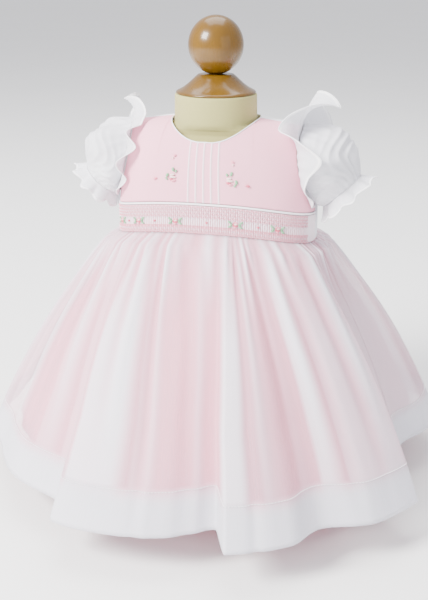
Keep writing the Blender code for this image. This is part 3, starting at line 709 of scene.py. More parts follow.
@dataclass(frozen=True)
class BodicePattern:
    """The body of the dress as formulas: s turns from the centre front, v runs up."""

    centre_x: float = 2.5
    neck_shift: float = 1.5
    half_width: float = 102.0
    front: float = 62.0
    back: float = 57.0
    roundness: float = 0.82
    narrowing: float = 14.0
    seam_top: float = 299.0
    side_drop: float = 14.0
    neck_height: float = 374.0
    shoulder_slope: float = 0.133
    shoulder_y: float = 5.0
    profile_power: float = 3.1
    neck_half_width: float = 43.4
    neck_round: float = 0.86
    neck_front: float = 50.0
    neck_back: float = 46.0
    band_depth: float = 29.0
    arm_centre: float = -1.5
    arm_shift: float = 6.5
    arm_half_depth: float = 27.0
    arm_low: float = 0.149
    arm_top_share: float = 0.30

    def profile_table(self) -> tuple[Array, Array, Array]:
        """Rise, reach and length along the side view, a rounded corner to the profile power."""
        turn = np.linspace(0.0, math.pi / 2.0, 600)
        rise = np.sin(turn) ** (2.0 / self.profile_power)
        reach = np.cos(turn) ** (2.0 / self.profile_power)
        steps = np.hypot(76.0 * np.diff(rise), 60.0 * np.diff(reach))
        return rise, reach, np.concatenate(([0.0], np.cumsum(steps)))

    @property
    def profile_length(self) -> float:
        """Length of the side view from the yoke seam to the shoulder."""
        return float(self.profile_table()[2][-1])

    def profile(self, v: Array) -> tuple[Array, Array]:
        """Rise and reach at a share of the side view's length."""
        rise, reach, length = self.profile_table()
        along = np.clip(v, 0.0, 1.0) * length[-1]
        return np.interp(along, length, rise), np.interp(along, length, reach)

    def rise_to_v(self, rise: Array) -> Array:
        """Share of the side view's length at a rise."""
        rises, _, length = self.profile_table()
        return np.interp(rise, rises, length) / length[-1]

    def seam_height(self, s: Array) -> Array:
        """Height of the yoke seam: it sinks by the side drop times the squared sine."""
        return self.seam_top - self.side_drop * np.sin(s) ** 2

    def depth(self, s: Array) -> Array:
        """Half depth of the chest, in front or behind."""
        return np.where(np.cos(s) >= 0.0, self.front, self.back)

    def at(self, s: Array, v: Array) -> Array:
        """Points of the bodice.

        Across, x is the half width times the rounded sine of the turn. Along, y is the
        depth times the reach times the rounded cosine. The height goes from the seam to the
        sloping shoulder with the rise, and straight down below the seam.

        Args:
            s: turn from the centre front in radians, positive to the right.
            v: share of the way up, negative below the yoke seam.

        Returns:
            Points in millimetres.
        """
        s, v = np.broadcast_arrays(np.asarray(s, dtype=float), np.asarray(v, dtype=float))
        rise, reach = self.profile(v)
        wide = self.half_width - self.narrowing * rise ** 1.5
        x = wide * signed_power(np.sin(s), self.roundness)
        y = self.shoulder_y * rise - self.depth(s) * reach * signed_power(np.cos(s), self.roundness)
        top = self.neck_height - self.shoulder_slope * (np.abs(x) - self.neck_half_width)
        low = self.seam_height(s)
        z = low + (top - low) * rise + np.minimum(v, 0.0) * self.profile_length
        return np.stack((x + self.centre_x - self.neck_shift * rise, y, z), axis=-1)

    def normal(self, s: Array, v: Array) -> Array:
        """Outward unit normals, from small steps along s and v."""
        small = 0.002
        s, v = np.broadcast_arrays(np.asarray(s, dtype=float), np.asarray(v, dtype=float))
        high = np.minimum(v + small, 0.997)
        over = self.at(s + small, np.minimum(v, 0.995)) - self.at(s - small, np.minimum(v, 0.995))
        upward = self.at(s, high) - self.at(s, high - 2.0 * small)
        return unit(np.cross(over, upward))

    def armhole(self, beta: Array) -> tuple[Array, Array]:
        """Turn and height share of the right armhole; beta 0 is the shoulder, 90 the front.

        Seen from the side it is an oval whose centre moves forward with its height.

        Args:
            beta: angle round the armhole in radians.

        Returns:
            Turn s and share v.
        """
        beta = np.asarray(beta, dtype=float)
        rise = self.arm_low + (1.0 - self.arm_low) * 0.5 * (1.0 + np.cos(beta))
        y = self.arm_centre + self.arm_shift * np.cos(beta) - self.arm_half_depth * np.sin(beta)
        v = self.rise_to_v(rise)
        reach = np.maximum(self.profile(v)[1], 1e-6)
        offset = y - self.shoulder_y * rise
        deep = np.where(offset <= 0.0, self.front, self.back) * reach
        share = np.clip(np.abs(offset) / deep, 0.0, 1.0) ** (1.0 / self.roundness)
        share = np.maximum(share, self.arm_top_share * np.clip((v - 0.5) / 0.3, 0.0, 1.0))
        ahead = np.sin(beta) >= -1e-9
        near = np.arccos(share)
        s = np.where(offset <= 0.0, near, math.pi - near)
        return np.where(ahead & (v > 0.9), near, s), v

    def arm_edge(self, beta: Array, side: Side) -> Array:
        """Points of an armhole, straight between nodes 20 degrees apart as in the frame."""
        step = math.radians(20.0)
        low = np.floor(beta / step + 1e-9)
        share = (beta / step - low)[..., None]
        ends = [self.at(side.value * s, v) for s, v in
                (self.armhole((node * step) % TURN) for node in (low, low + 1.0))]
        return ends[0] * (1.0 - share) + ends[1] * share

    def neckline(self, plan: Array) -> tuple[Array, Array]:
        """Turn and height share where the neck oval, seen from above, cuts the bodice."""
        x = self.neck_half_width * signed_power(np.sin(plan), self.neck_round)
        front = np.cos(plan) >= 0.0
        y = -np.where(front, self.neck_front, self.neck_back) * signed_power(np.cos(plan),
                                                                             self.neck_round)
        low = np.zeros_like(x)
        high = np.ones_like(x)
        for _ in range(40):
            v = 0.5 * (low + high)
            rise, reach = self.profile(v)
            wide = self.half_width - self.narrowing * rise ** 1.5
            deep = np.where(front, self.front, self.back) * np.maximum(reach, 1e-6)
            out = np.abs(x / wide) ** (2.0 / self.roundness)
            out = out + np.abs((y - self.shoulder_y * rise) / deep) ** (2.0 / self.roundness)
            low = np.where(out < 1.0, v, low)
            high = np.where(out < 1.0, high, v)
        wide = self.half_width - self.narrowing * self.profile(v)[0] ** 1.5
        turn = np.arcsin(np.clip(np.abs(x) / wide, 0.0, 1.0) ** (1.0 / self.roundness))
        return np.where(front, turn, math.pi - turn), v

    def turn_at(self, x: Array, v: float) -> Array:
        """Turn of the front at a distance from the centre line."""
        wide = self.half_width - self.narrowing * self.profile(np.array(v))[0] ** 1.5
        return np.arcsin((np.asarray(x) / wide) ** (1.0 / self.roundness))

    def share_at(self, s: Array, height: Array) -> Array:
        """Height share v of a height in millimetres at a turn, solved by halving."""
        s, height = np.broadcast_arrays(np.asarray(s, dtype=float),
                                        np.asarray(height, dtype=float))
        low = np.full(s.shape, -0.35)
        high = np.full(s.shape, 0.98)
        for _ in range(30):
            v = 0.5 * (low + high)
            below = self.at(s, v)[..., 2] < height
            low = np.where(below, v, low)
            high = np.where(below, high, v)
        return v

    def patch(self, low_s: Array, top_s: Array, low_v: float, top_v: Array,
              sway: Array) -> tuple[Array, Array, Array]:
        """Turns and height shares of a panel between its lower and its upper edge.

        A column goes from its lower turn to its upper one with the share of height to the
        power of its sway.

        Args:
            low_s: turn of each column at the lower edge.
            top_s: turn of each column at the upper edge.
            low_v: height share of the lower edge.
            top_v: height share of each column's upper end.
            sway: each column's power.

        Returns:
            Share of the way up, turns and height shares, the top row first.
        """
        share = np.linspace(1.0, 0.0, 56)[:, None]
        over = share ** sway[None, :]
        s = low_s * (1.0 - over) + top_s * over
        return share, s, low_v * (1.0 - share) + top_v[None, :] * share

    @property
    def side_turn(self) -> float:
        """Turn of the side seam."""
        return float(self.armhole(np.array(math.pi))[0])


PATTERN = BodicePattern()


# the dress form


@dataclass
class DressForm:
    """Padded torso with a covered neck, wooden cap and ball, on an enamelled post and base."""

    finishes: Wardrobe
    base_radius: float = 85.0
    base_height: float = 16.0
    post_radius: float = 14.0
    torso_bottom: float = 85.0
    neck_top: float = 397.3
    ball_top: float = 472.0
    cap_top: float = 416.0
    gap: float = 0.3
    columns: int = 96
    rings: tuple[tuple[float, float, float], ...] = (
        (92.0, 62.0, 46.0),
        (125.0, 72.0, 51.0),
        (200.0, 73.0, 50.0),
        (262.0, 80.0, 52.0),
        (315.0, 84.0, 51.0),
        (342.0, 83.0, 46.0),
        (354.0, 79.0, 39.0),
        (361.0, 70.0, 36.0),
        (365.0, 58.0, 37.0),
        (367.5, 47.0, 39.0),
        (371.0, 41.3, 40.8),
        (380.0, 41.0, 41.0),
        (395.8, 40.7, 40.7),
        (397.3, 40.0, 40.0),
    )

    def torso(self) -> bpy.types.Object:
        """Ovals between the ring table's rows, with a flat closed bottom and neck top.

        Returns:
            The covered torso.
        """
        rows = np.array(self.rings)
        at = spread_keys(np.arange(len(rows), dtype=float), 4)
        index = np.arange(len(rows))
        z, wide, deep = (np.interp(at, index, rows[:, k]) for k in range(3))
        low = self.torso_bottom
        z = np.concatenate(([low, low, low + 2.0], z))
        wide = np.concatenate(([1.0, 54.0, 58.0], wide))
        deep = np.concatenate(([1.0, 40.0, 43.0], deep))
        z = np.concatenate((z, [self.neck_top]))[::-1]
        wide = np.concatenate((wide, [1.0]))[::-1]
        deep = np.concatenate((deep, [1.0]))[::-1]
        columns = self.columns
        turn = np.linspace(0.0, TURN, columns, endpoint=False)
        x = wide[:, None] * np.sin(turn)
        y = -deep[:, None] * np.cos(turn)
        grid = np.stack((x, y, np.broadcast_to(z[:, None], x.shape)), axis=-1)
        faces = grid_faces(len(z), columns, True, False).tolist()
        last = (len(z) - 1) * columns
        faces += [list(range(columns)), [last + k for k in range(columns)][::-1]]
        piece = publish("torso_cover", grid.reshape(-1, 3), faces, self.finishes.cover)
        lay_uv_turned(piece, grid)
        lay_value(piece, "tint", np.zeros(grid.shape[:2]))
        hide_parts("form_torso")
        return piece

    def cap(self) -> bpy.types.Object:
        """Turned cap with a flat top, sloping shoulder and a small rolled rim."""
        outline = np.array((
            (0.0, self.cap_top), (15.5, self.cap_top), (17.6, 415.7), (20.6, 413.2),
            (24.0, 410.0), (28.0, 406.4),
            (33.0, 402.7), (37.0, 400.6), (38.9, 399.6), (39.6, 398.7), (39.4, 397.9),
            (38.6, 397.6), (20.0, 397.6), (0.0, 397.6)))
        piece = turned_piece("cap_wood", outline, self.columns, self.finishes.wood)
        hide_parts("neck_cap")
        return piece

    def ball(self) -> bpy.types.Object:
        """Ball with a small flat where it stands on the cap."""
        seat = self.cap_top + self.gap
        radius = (self.ball_top - seat + 0.9) / 2.0
        middle = self.ball_top - radius
        lowest = math.asin((seat - middle) / radius)
        turn = np.linspace(math.pi / 2.0, lowest, 48)
        outline = np.stack((27.2 * np.cos(turn), middle + radius * np.sin(turn)), axis=-1)
        outline = np.concatenate((outline, ((0.0, seat),)))
        piece = turned_piece("ball_wood", outline, self.columns, self.finishes.wood)
        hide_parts("neck_ball")
        return piece

    def post(self) -> bpy.types.Object:
        """Round tube with eased ends."""
        high = self.torso_bottom - self.gap
        low = self.base_height + self.gap
        r = self.post_radius
        outline = np.array(((0.0, high), (r - 0.8, high), (r, high - 0.8), (r, high - 8.0),
                            (r, 0.5 * (high + low)), (r, low + 8.0), (r, low + 0.6),
                            (r - 0.5, low), (0.0, low)))
        piece = turned_piece("post_enamel", outline, 64, self.finishes.enamel)
        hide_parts("form_post")
        return piece

    def base(self) -> bpy.types.Object:
        """Low disc with a rounded upper edge and a shallow turned step."""
        r = self.base_radius
        h = self.base_height
        outline = np.array(((0.0, h), (22.0, h), (r - 16.0, h - 0.6), (r - 13.0, h - 1.6),
                            (r - 4.0, h - 2.2), (r - 1.2, h - 3.4), (r, h - 6.0), (r, 1.2),
                            (r - 1.0, 0.0), (0.0, 0.0)))
        piece = turned_piece("base_enamel", outline, 128, self.finishes.enamel)
        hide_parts("form_base")
        return piece

    def build(self) -> None:
        """Make every piece of the form."""
        for make in (self.torso, self.cap, self.ball, self.post, self.base):
            log.info("form piece %s", make().name)


def lay_uv_turned(piece: bpy.types.Object, grid: Array) -> None:
    """Give a closed ring grid with two end faces a UV map in metres round and down it.

    Args:
        piece: the grid's object, its end faces last.
        grid: the grid in millimetres.
    """
    girth = 0.26 * TURN / 3.3
    rows, columns = grid.shape[:2]
    u = np.linspace(0.0, girth, columns + 1)
    v = grid[:, 0, 2] * MM
    r, c = np.mgrid[0:rows - 1, 0:columns]
    corners = ((r, c), (r + 1, c), (r + 1, c + 1), (r, c + 1))
    uv = np.stack([np.stack((u[b], v[a]), axis=-1) for a, b in corners], axis=2).reshape(-1, 2)
    ends = np.concatenate((grid[0, :, :2], grid[-1, ::-1, :2])) * MM
    layer = piece.data.uv_layers.new(name="cloth")
    layer.data.foreach_set("uv", np.concatenate((uv, ends)).reshape(-1).astype(np.float32))


# yoke


@dataclass
class Yoke:
    """Pink front yoke with five tucks, embroidered sprays, piping and neck binding."""

    finishes: Wardrobe
    tuck_spacing: float = 7.5
    tuck_height: float = 0.9
    piping_radius: float = 1.05
    # turn in degrees, height, half length, slant in degrees, thread, thread radius
    spray_left: tuple[tuple[float, float, float, float, str, float], ...] = ()
    spray_right: tuple[tuple[float, float, float, float, str, float], ...] = ()

    def columns(self) -> tuple[Array, Array, Array, Array, Array]:
        """Turns and shares along the top and bottom edges of the right half.

        Returns:
            Distance of each column from the centre (0 past the tucks), top turn, top share,
            bottom turn and the sway exponent of each column.
        """
        p = PATTERN
        centre = np.arange(0.0, 25.5, 0.375)
        across = (centre * 0.93 / p.neck_half_width) ** (1.0 / p.neck_round)
        wide = (25.5 * 0.93 / p.neck_half_width) ** (1.0 / p.neck_round)
        keys = np.concatenate(([math.asin(wide)], np.radians((48.0, 62.0, 76.0))))
        plan = np.concatenate((np.arcsin(across), spread_keys(keys, 6)))
        neck_s, neck_v = p.neckline(plan)
        arm_s, arm_v = p.armhole(np.radians(np.linspace(0.0, 180.0, 55)))
        neck_point = float(p.turn_at(p.neck_half_width, 1.0))
        shoulder = np.linspace(neck_point, arm_s[0], 25)
        top_s = np.concatenate((neck_s, shoulder, arm_s[1:]))
        top_v = np.concatenate((neck_v, np.ones(25), arm_v[1:]))
        low_keys = np.radians((17.5, 21.5, 25.0, 28.0, 32.0, 37.0, 42.0, 46.0, 49.0, 52.0, 55.0,
                               58.5, 62.5, 67.0, 73.0, 79.5, math.degrees(p.side_turn)))
        low_keys = np.concatenate(([float(p.turn_at(25.5, 0.0))], low_keys))
        low_s = np.concatenate((p.turn_at(centre, 0.0), spread_keys(low_keys, 6)[:len(top_s)]))
        sway_keys = np.array((1.0, 1.0, 1.0, 1.0, 1.3, 1.7, 2.2, 2.6, 3.0, 3.0, 3.0, 2.5, 1.8,
                              1.0, 1.0, 1.0, 1.0, 1.0))
        sway = np.concatenate((np.ones(len(centre)), spread_keys(sway_keys, 6)))
        count = min(len(top_s), len(low_s), len(sway))
        along = np.linspace(0.0, 1.0, count)
        fit = [np.interp(along, np.linspace(0.0, 1.0, len(a)), a) if len(a) != count else a
               for a in (top_s, top_v, low_s, sway)]
        mark = np.concatenate((centre, np.full(count - len(centre), 99.0)))
        return mark, fit[0], fit[1], fit[2], fit[3]

    def panel(self) -> bpy.types.Object:
        """The yoke: a grid from the neck, shoulder and armhole down to the seam.

        Each column goes from its bottom turn to its top turn with the share of height to
        its sway. A tuck is a ridge that rises steeply and falls away over two millimetres.

        Returns:
            The pink front.
        """
        mark, top_s, top_v, low_s, sway = self.columns()
        low_v = 1.5 / PATTERN.profile_length
        mark = np.concatenate((-mark[:0:-1], mark))
        top_s = np.concatenate((-top_s[:0:-1], top_s))
        low_s = np.concatenate((-low_s[:0:-1], low_s))
        top_v = np.concatenate((top_v[:0:-1], top_v))
        sway = np.concatenate((sway[:0:-1], sway))
        share, s, v = PATTERN.patch(low_s, top_s, low_v, top_v, sway)
        points = PATTERN.at(s, v)
        points[0, top_v > 0.9999, 1] -= 0.15
        normal = PATTERN.normal(s, v)
        ridge = np.zeros_like(mark)
        for line in self.tuck_spacing * np.arange(-2, 3):
            apart = mark - line
            ridge = np.maximum(ridge, np.where(apart < 0.0, bump(apart, 0.5), bump(apart, 1.0)))
        fade = smooth(share, 0.0, 0.04) * smooth(1.0 - share, 0.0, 0.02)
        wave = 0.35 * np.sin(9.0 * s + 3.0 * v) * np.sin(5.0 * v + 2.0 * s)
        wave = wave * smooth(share, 0.0, 0.3) * smooth(1.0 - share, 0.0, 0.3)
        lift = self.tuck_height * ridge[None, :] * (0.35 + 0.65 * fade) + wave - 0.3
        points = points + lift[..., None] * normal
        piece = cloth_piece("yoke_cloth", points, self.finishes.batiste, thickness=0.5,
                            tint=0.95 * ridge[None, :] * np.ones_like(share))
        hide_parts("yoke_front")
        return piece

    def piping(self) -> bpy.types.Object:
        """Covered cord along the yoke seam, between the two side seams."""
        edge = PATTERN.side_turn - math.radians(0.12)
        s = np.linspace(-edge, edge, 240)
        outward = np.stack((np.sin(s), -np.cos(s), 0.0 * s), axis=-1)
        path = PATTERN.at(s, 0.0 * s) - 0.1 * outward
        piece = cord_piece("piping_cord", path, outward, self.piping_radius, 14,
                           self.finishes.white_thread)
        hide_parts("yoke_piping")
        return piece

    def binding(self) -> bpy.types.Object:
        """Narrow rolled binding round the whole neck, front and back."""
        plan = np.radians(np.linspace(-171.0, 171.0, 220))
        s, v = PATTERN.neckline(np.abs(plan))
        s = np.sign(plan) * s
        path = PATTERN.at(s, v)
        outward = unit(path - np.array((1.0, 0.0, 0.0)) * 1.0)
        outward[:, 2] = 0.6
        outward = unit(outward)
        piece = cord_piece("neck_binding", path, outward, 0.6, 10, self.finishes.white_thread)
        return piece

    def spray(self, name: str, table: tuple, threads: dict[str, bpy.types.Material]) -> None:
        """Embroider a spray: each row of the table is one thick stitch on the yoke.

        Args:
            name: first part of the pieces' names.
            table: rows of turn, height, half length, slant, thread and radius.
            threads: material of each thread word.
        """
        for word, material in threads.items():
            rows = [row for row in table if row[4] == word]
            if not rows:
                continue
            s = np.radians([row[0] for row in rows])
            height = np.array([row[1] for row in rows])
            v = PATTERN.share_at(s, height)
            place = PATTERN.at(s, v)
            normal = PATTERN.normal(s, v)
            right = unit(PATTERN.at(s + 0.002, v) - place)
            upward = np.cross(normal, right)
            slant = np.radians([row[3] for row in rows])[:, None]
            reach = np.array([row[2] for row in rows])[:, None]
            along = (np.cos(slant) * right + np.sin(slant) * upward) * reach
            radius = np.array([row[5] for row in rows])
            centre = place + 0.25 * normal
            piece = stitch_piece("%s_%s" % (name, word), centre - along, centre + along, normal,
                                 radius, material, 0.5)

    def build(self) -> None:
        """Make the panel, trims and embroidery."""
        panel = self.panel()
        threads = {"rose": self.finishes.rose_thread, "pink": self.finishes.pink_thread,
                   "cream": self.finishes.cream_thread, "leaf": self.finishes.green_thread}
        self.spray("spray_left", self.spray_left, threads)
        self.spray("spray_right", self.spray_right, threads)
        log.info("yoke with %s and %s", self.piping().name, self.binding().name)


# smocked band


@dataclass
class SmockedBand:
    """Pleated band held by a trellis of stitches, with roses and knots along it."""

    finishes: Wardrobe
    pleat: float = 2.2
    pleat_height: float = 1.0
    rows: int = 38
    # height below the seam of the trellis rows
    trellis_rows: tuple[float, ...] = (2.8, 5.9, 9.0, 12.1, 23.4, 26.5)
    rose_turns: tuple[float, ...] = (-60.0, -38.0, -12.0, 14.0, 40.0)
    knot_turns: tuple[float, ...] = (-49.0, -25.0, 1.0, 27.0)

    def arc(self) -> tuple[Array, Array]:
        """Fine turns across the band and the length along it from the left side seam."""
        edge = PATTERN.side_turn - math.radians(0.12)
        s = np.linspace(-edge, edge, 4001)
        line = PATTERN.at(s, -0.12 + 0.0 * s)
        length = np.concatenate(([0.0], np.cumsum(np.linalg.norm(np.diff(line, axis=0), axis=1))))
        return s, length

    def cloth(self) -> bpy.types.Object:
        """The pleats: rounded tubes side by side, pinched together in turn by the trellis.

        The height is the pleat height times the root of the size of a cosine along the band.
        A pleat sways sideways by a cosine down the band, its neighbour the other way. The hollows
        between the pleats are tinted deep pink by their depth, as painted shade.

        Returns:
            The pleated cloth.
        """
        s, length = self.arc()
        count = int(length[-1] / self.pleat)
        along = np.linspace(0.0, length[-1], count * 6 + 1)
        drop = np.linspace(1.5, PATTERN.band_depth, self.rows)[:, None]
        phase = along / length[-1] * count
        number = np.floor(phase)
        pinch = np.cos(math.pi * drop / 3.4) * np.where(number % 2 == 0, 1.0, -1.0)
        quiet = smooth(drop, 13.0, 15.0) * (1.0 - smooth(drop, 21.0, 23.0))
        sway = 0.32 * self.pleat * pinch * (1.0 - 0.6 * quiet)
        within = np.sin(math.pi * (phase - number))
        moved = along + sway * within ** 2
        turn = np.interp(moved, length, s)
        v = -drop / PATTERN.profile_length + 0.0 * turn
        points = PATTERN.at(turn, v)
        normal = PATTERN.normal(turn, v)
        crown = np.sqrt(np.abs(within))
        lift = self.pleat_height * (crown - 0.9) + 0.5
        ends = smooth(drop, 1.5, 2.6) * (1.0 - smooth(drop, 26.5, 29.0))
        points = points + (lift * ends - 0.3 * (1.0 - ends))[..., None] * normal
        # painted shade: the tint turns the hollows between pleats deep pink by their depth; the smocked
        # rows outside the middle row get a little more pink, and the plain sides little tint
        deep = (1.0 - crown) * np.ones_like(drop)
        plain = smooth(turn, math.radians(63.0), math.radians(72.0))
        tint = np.clip(1.5 * deep + 0.22 * (1.0 - quiet), 0.0, 1.0) * (1.0 - 0.85 * plain)
        piece = cloth_piece("band_cloth", points, self.finishes.pleated, thickness=0.4, tint=tint)
        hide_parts("smocked_band")
        return piece

    def spots(self, along: Array, drop: Array, off: float) -> tuple[Array, Array]:
        """Points and normals on the band at lengths along it and drops below the seam."""
        s, length = self.arc()
        turn = np.interp(along, length, s)
        v = -drop / PATTERN.profile_length
        normal = PATTERN.normal(turn, v)
        return PATTERN.at(turn, v) + off * normal, normal

    def trellis(self, name: str, shift: float, radius: float,
                thread: bpy.types.Material) -> bpy.types.Object:
        """Slanting stitches that zigzag between neighbouring pleats along each row.

        Args:
            name: the piece's name.
            shift: how far below its row each line is worked.
            radius: the thread's radius.
            thread: the thread's finish.

        Returns:
            The stitches.
        """
        s, length = self.arc()
        stop = float(np.interp(math.radians(69.0), s, length))
        across = np.arange(1.1, stop, self.pleat)
        rise = 1.35
        starts, ends, normals = [], [], []
        for row, drop in enumerate(self.trellis_rows):
            step = np.arange(len(across))
            slope = np.where((step + row) % 2 == 0, rise, -rise)
            first, normal = self.spots(across, drop + shift + slope, 0.62)
            last, _ = self.spots(across + self.pleat * 0.92, drop + shift - slope, 0.62)
            starts.append(first)
            ends.append(last)
            normals.append(normal)
        return stitch_piece(name, np.concatenate(starts), np.concatenate(ends),
                            np.concatenate(normals), radius, thread, 0.25)

    def cables(self) -> bpy.types.Object:
        """Two rows of short level stitches, under the piping and along the lower edge."""
        s, length = self.arc()
        stop = float(np.interp(math.radians(69.0), s, length))
        across = np.arange(1.1, stop, self.pleat * 0.5)
        parts = []
        for drop in (21.6, 28.2):
            shift = np.where(np.arange(len(across)) % 2 == 0, 0.35, -0.35)
            first, normal = self.spots(across, drop + shift, 0.6)
            last, _ = self.spots(across + self.pleat * 0.9, drop + shift, 0.6)
            parts.append((first, last, normal))
        return stitch_piece("band_cable", *(np.concatenate(k) for k in zip(*parts)), 0.28,
                            self.finishes.pink_thread, 0.3)

    def blossoms(self) -> None:
        """Bullion roses with two pairs of leaves, and a knot between each two roses."""
        s, length = self.arc()
        middle = np.interp(np.radians(self.rose_turns), s, length)
        knots = np.interp(np.radians(self.knot_turns), s, length)
        # sideways, down, half length, slant, radius
        parts = {
            "rose": ((0.2, 1.1, 2.5, 6.0, 1.0), (-1.6, -0.3, 1.6, 60.0, 0.95)),
            "cream": ((0.3, -0.7, 2.2, 8.0, 0.95),),
            "pink": ((1.3, -2.1, 1.8, -25.0, 0.9), (-0.2, 2.5, 1.8, -5.0, 0.85),
                     (-0.9, -2.3, 1.2, 20.0, 0.8)),
            "leaf": ((-5.4, -2.2, 2.1, 150.0, 1.0), (-5.2, 1.9, 2.1, 210.0, 1.0),
                     (5.5, -2.2, 2.1, 30.0, 1.0), (5.3, 2.0, 2.1, -30.0, 1.0),
                     (-3.9, -0.1, 1.4, 180.0, 0.75), (4.1, 0.0, 1.4, 0.0, 0.75)),
        }
        threads = {"rose": self.finishes.rose_thread, "cream": self.finishes.cream_thread,
                   "pink": self.finishes.pink_thread, "leaf": self.finishes.green_thread}
        for word, rows in parts.items():
            table = np.array(rows)
            across = (middle[:, None] + table[None, :, 0]).reshape(-1)
            drop = np.tile(17.4 + table[:, 1], len(middle))
            half = np.tile(table[:, 2], len(middle))
            slant = np.radians(np.tile(table[:, 3], len(middle)))
            radius = np.tile(table[:, 4], len(middle))
            first, normal = self.spots(across - half * np.cos(slant), drop + half * np.sin(slant), 0.95)
            last, _ = self.spots(across + half * np.cos(slant), drop - half * np.sin(slant), 0.95)
            piece = stitch_piece("band_" + word, first, last, normal, radius, threads[word], 0.55)
        first, normal = self.spots(knots - 1.3, 17.6 + 0.0 * knots, 0.9)
        last, _ = self.spots(knots + 1.3, 17.4 + 0.0 * knots, 0.9)
        piece = stitch_piece("band_knots", first, last, normal, 1.15, self.finishes.rose_thread, 0.4)

    def build(self) -> None:
        """Make the pleats and everything stitched on them."""
        self.cloth()
        for piece in (self.trellis("band_trellis_pink", 0.0, 0.34, self.finishes.pink_thread),
                      self.trellis("band_trellis_white", 1.5, 0.22, self.finishes.white_thread),
                      self.cables()):
            log.info("band stitches %s", piece.name)
        self.blossoms()


# backs


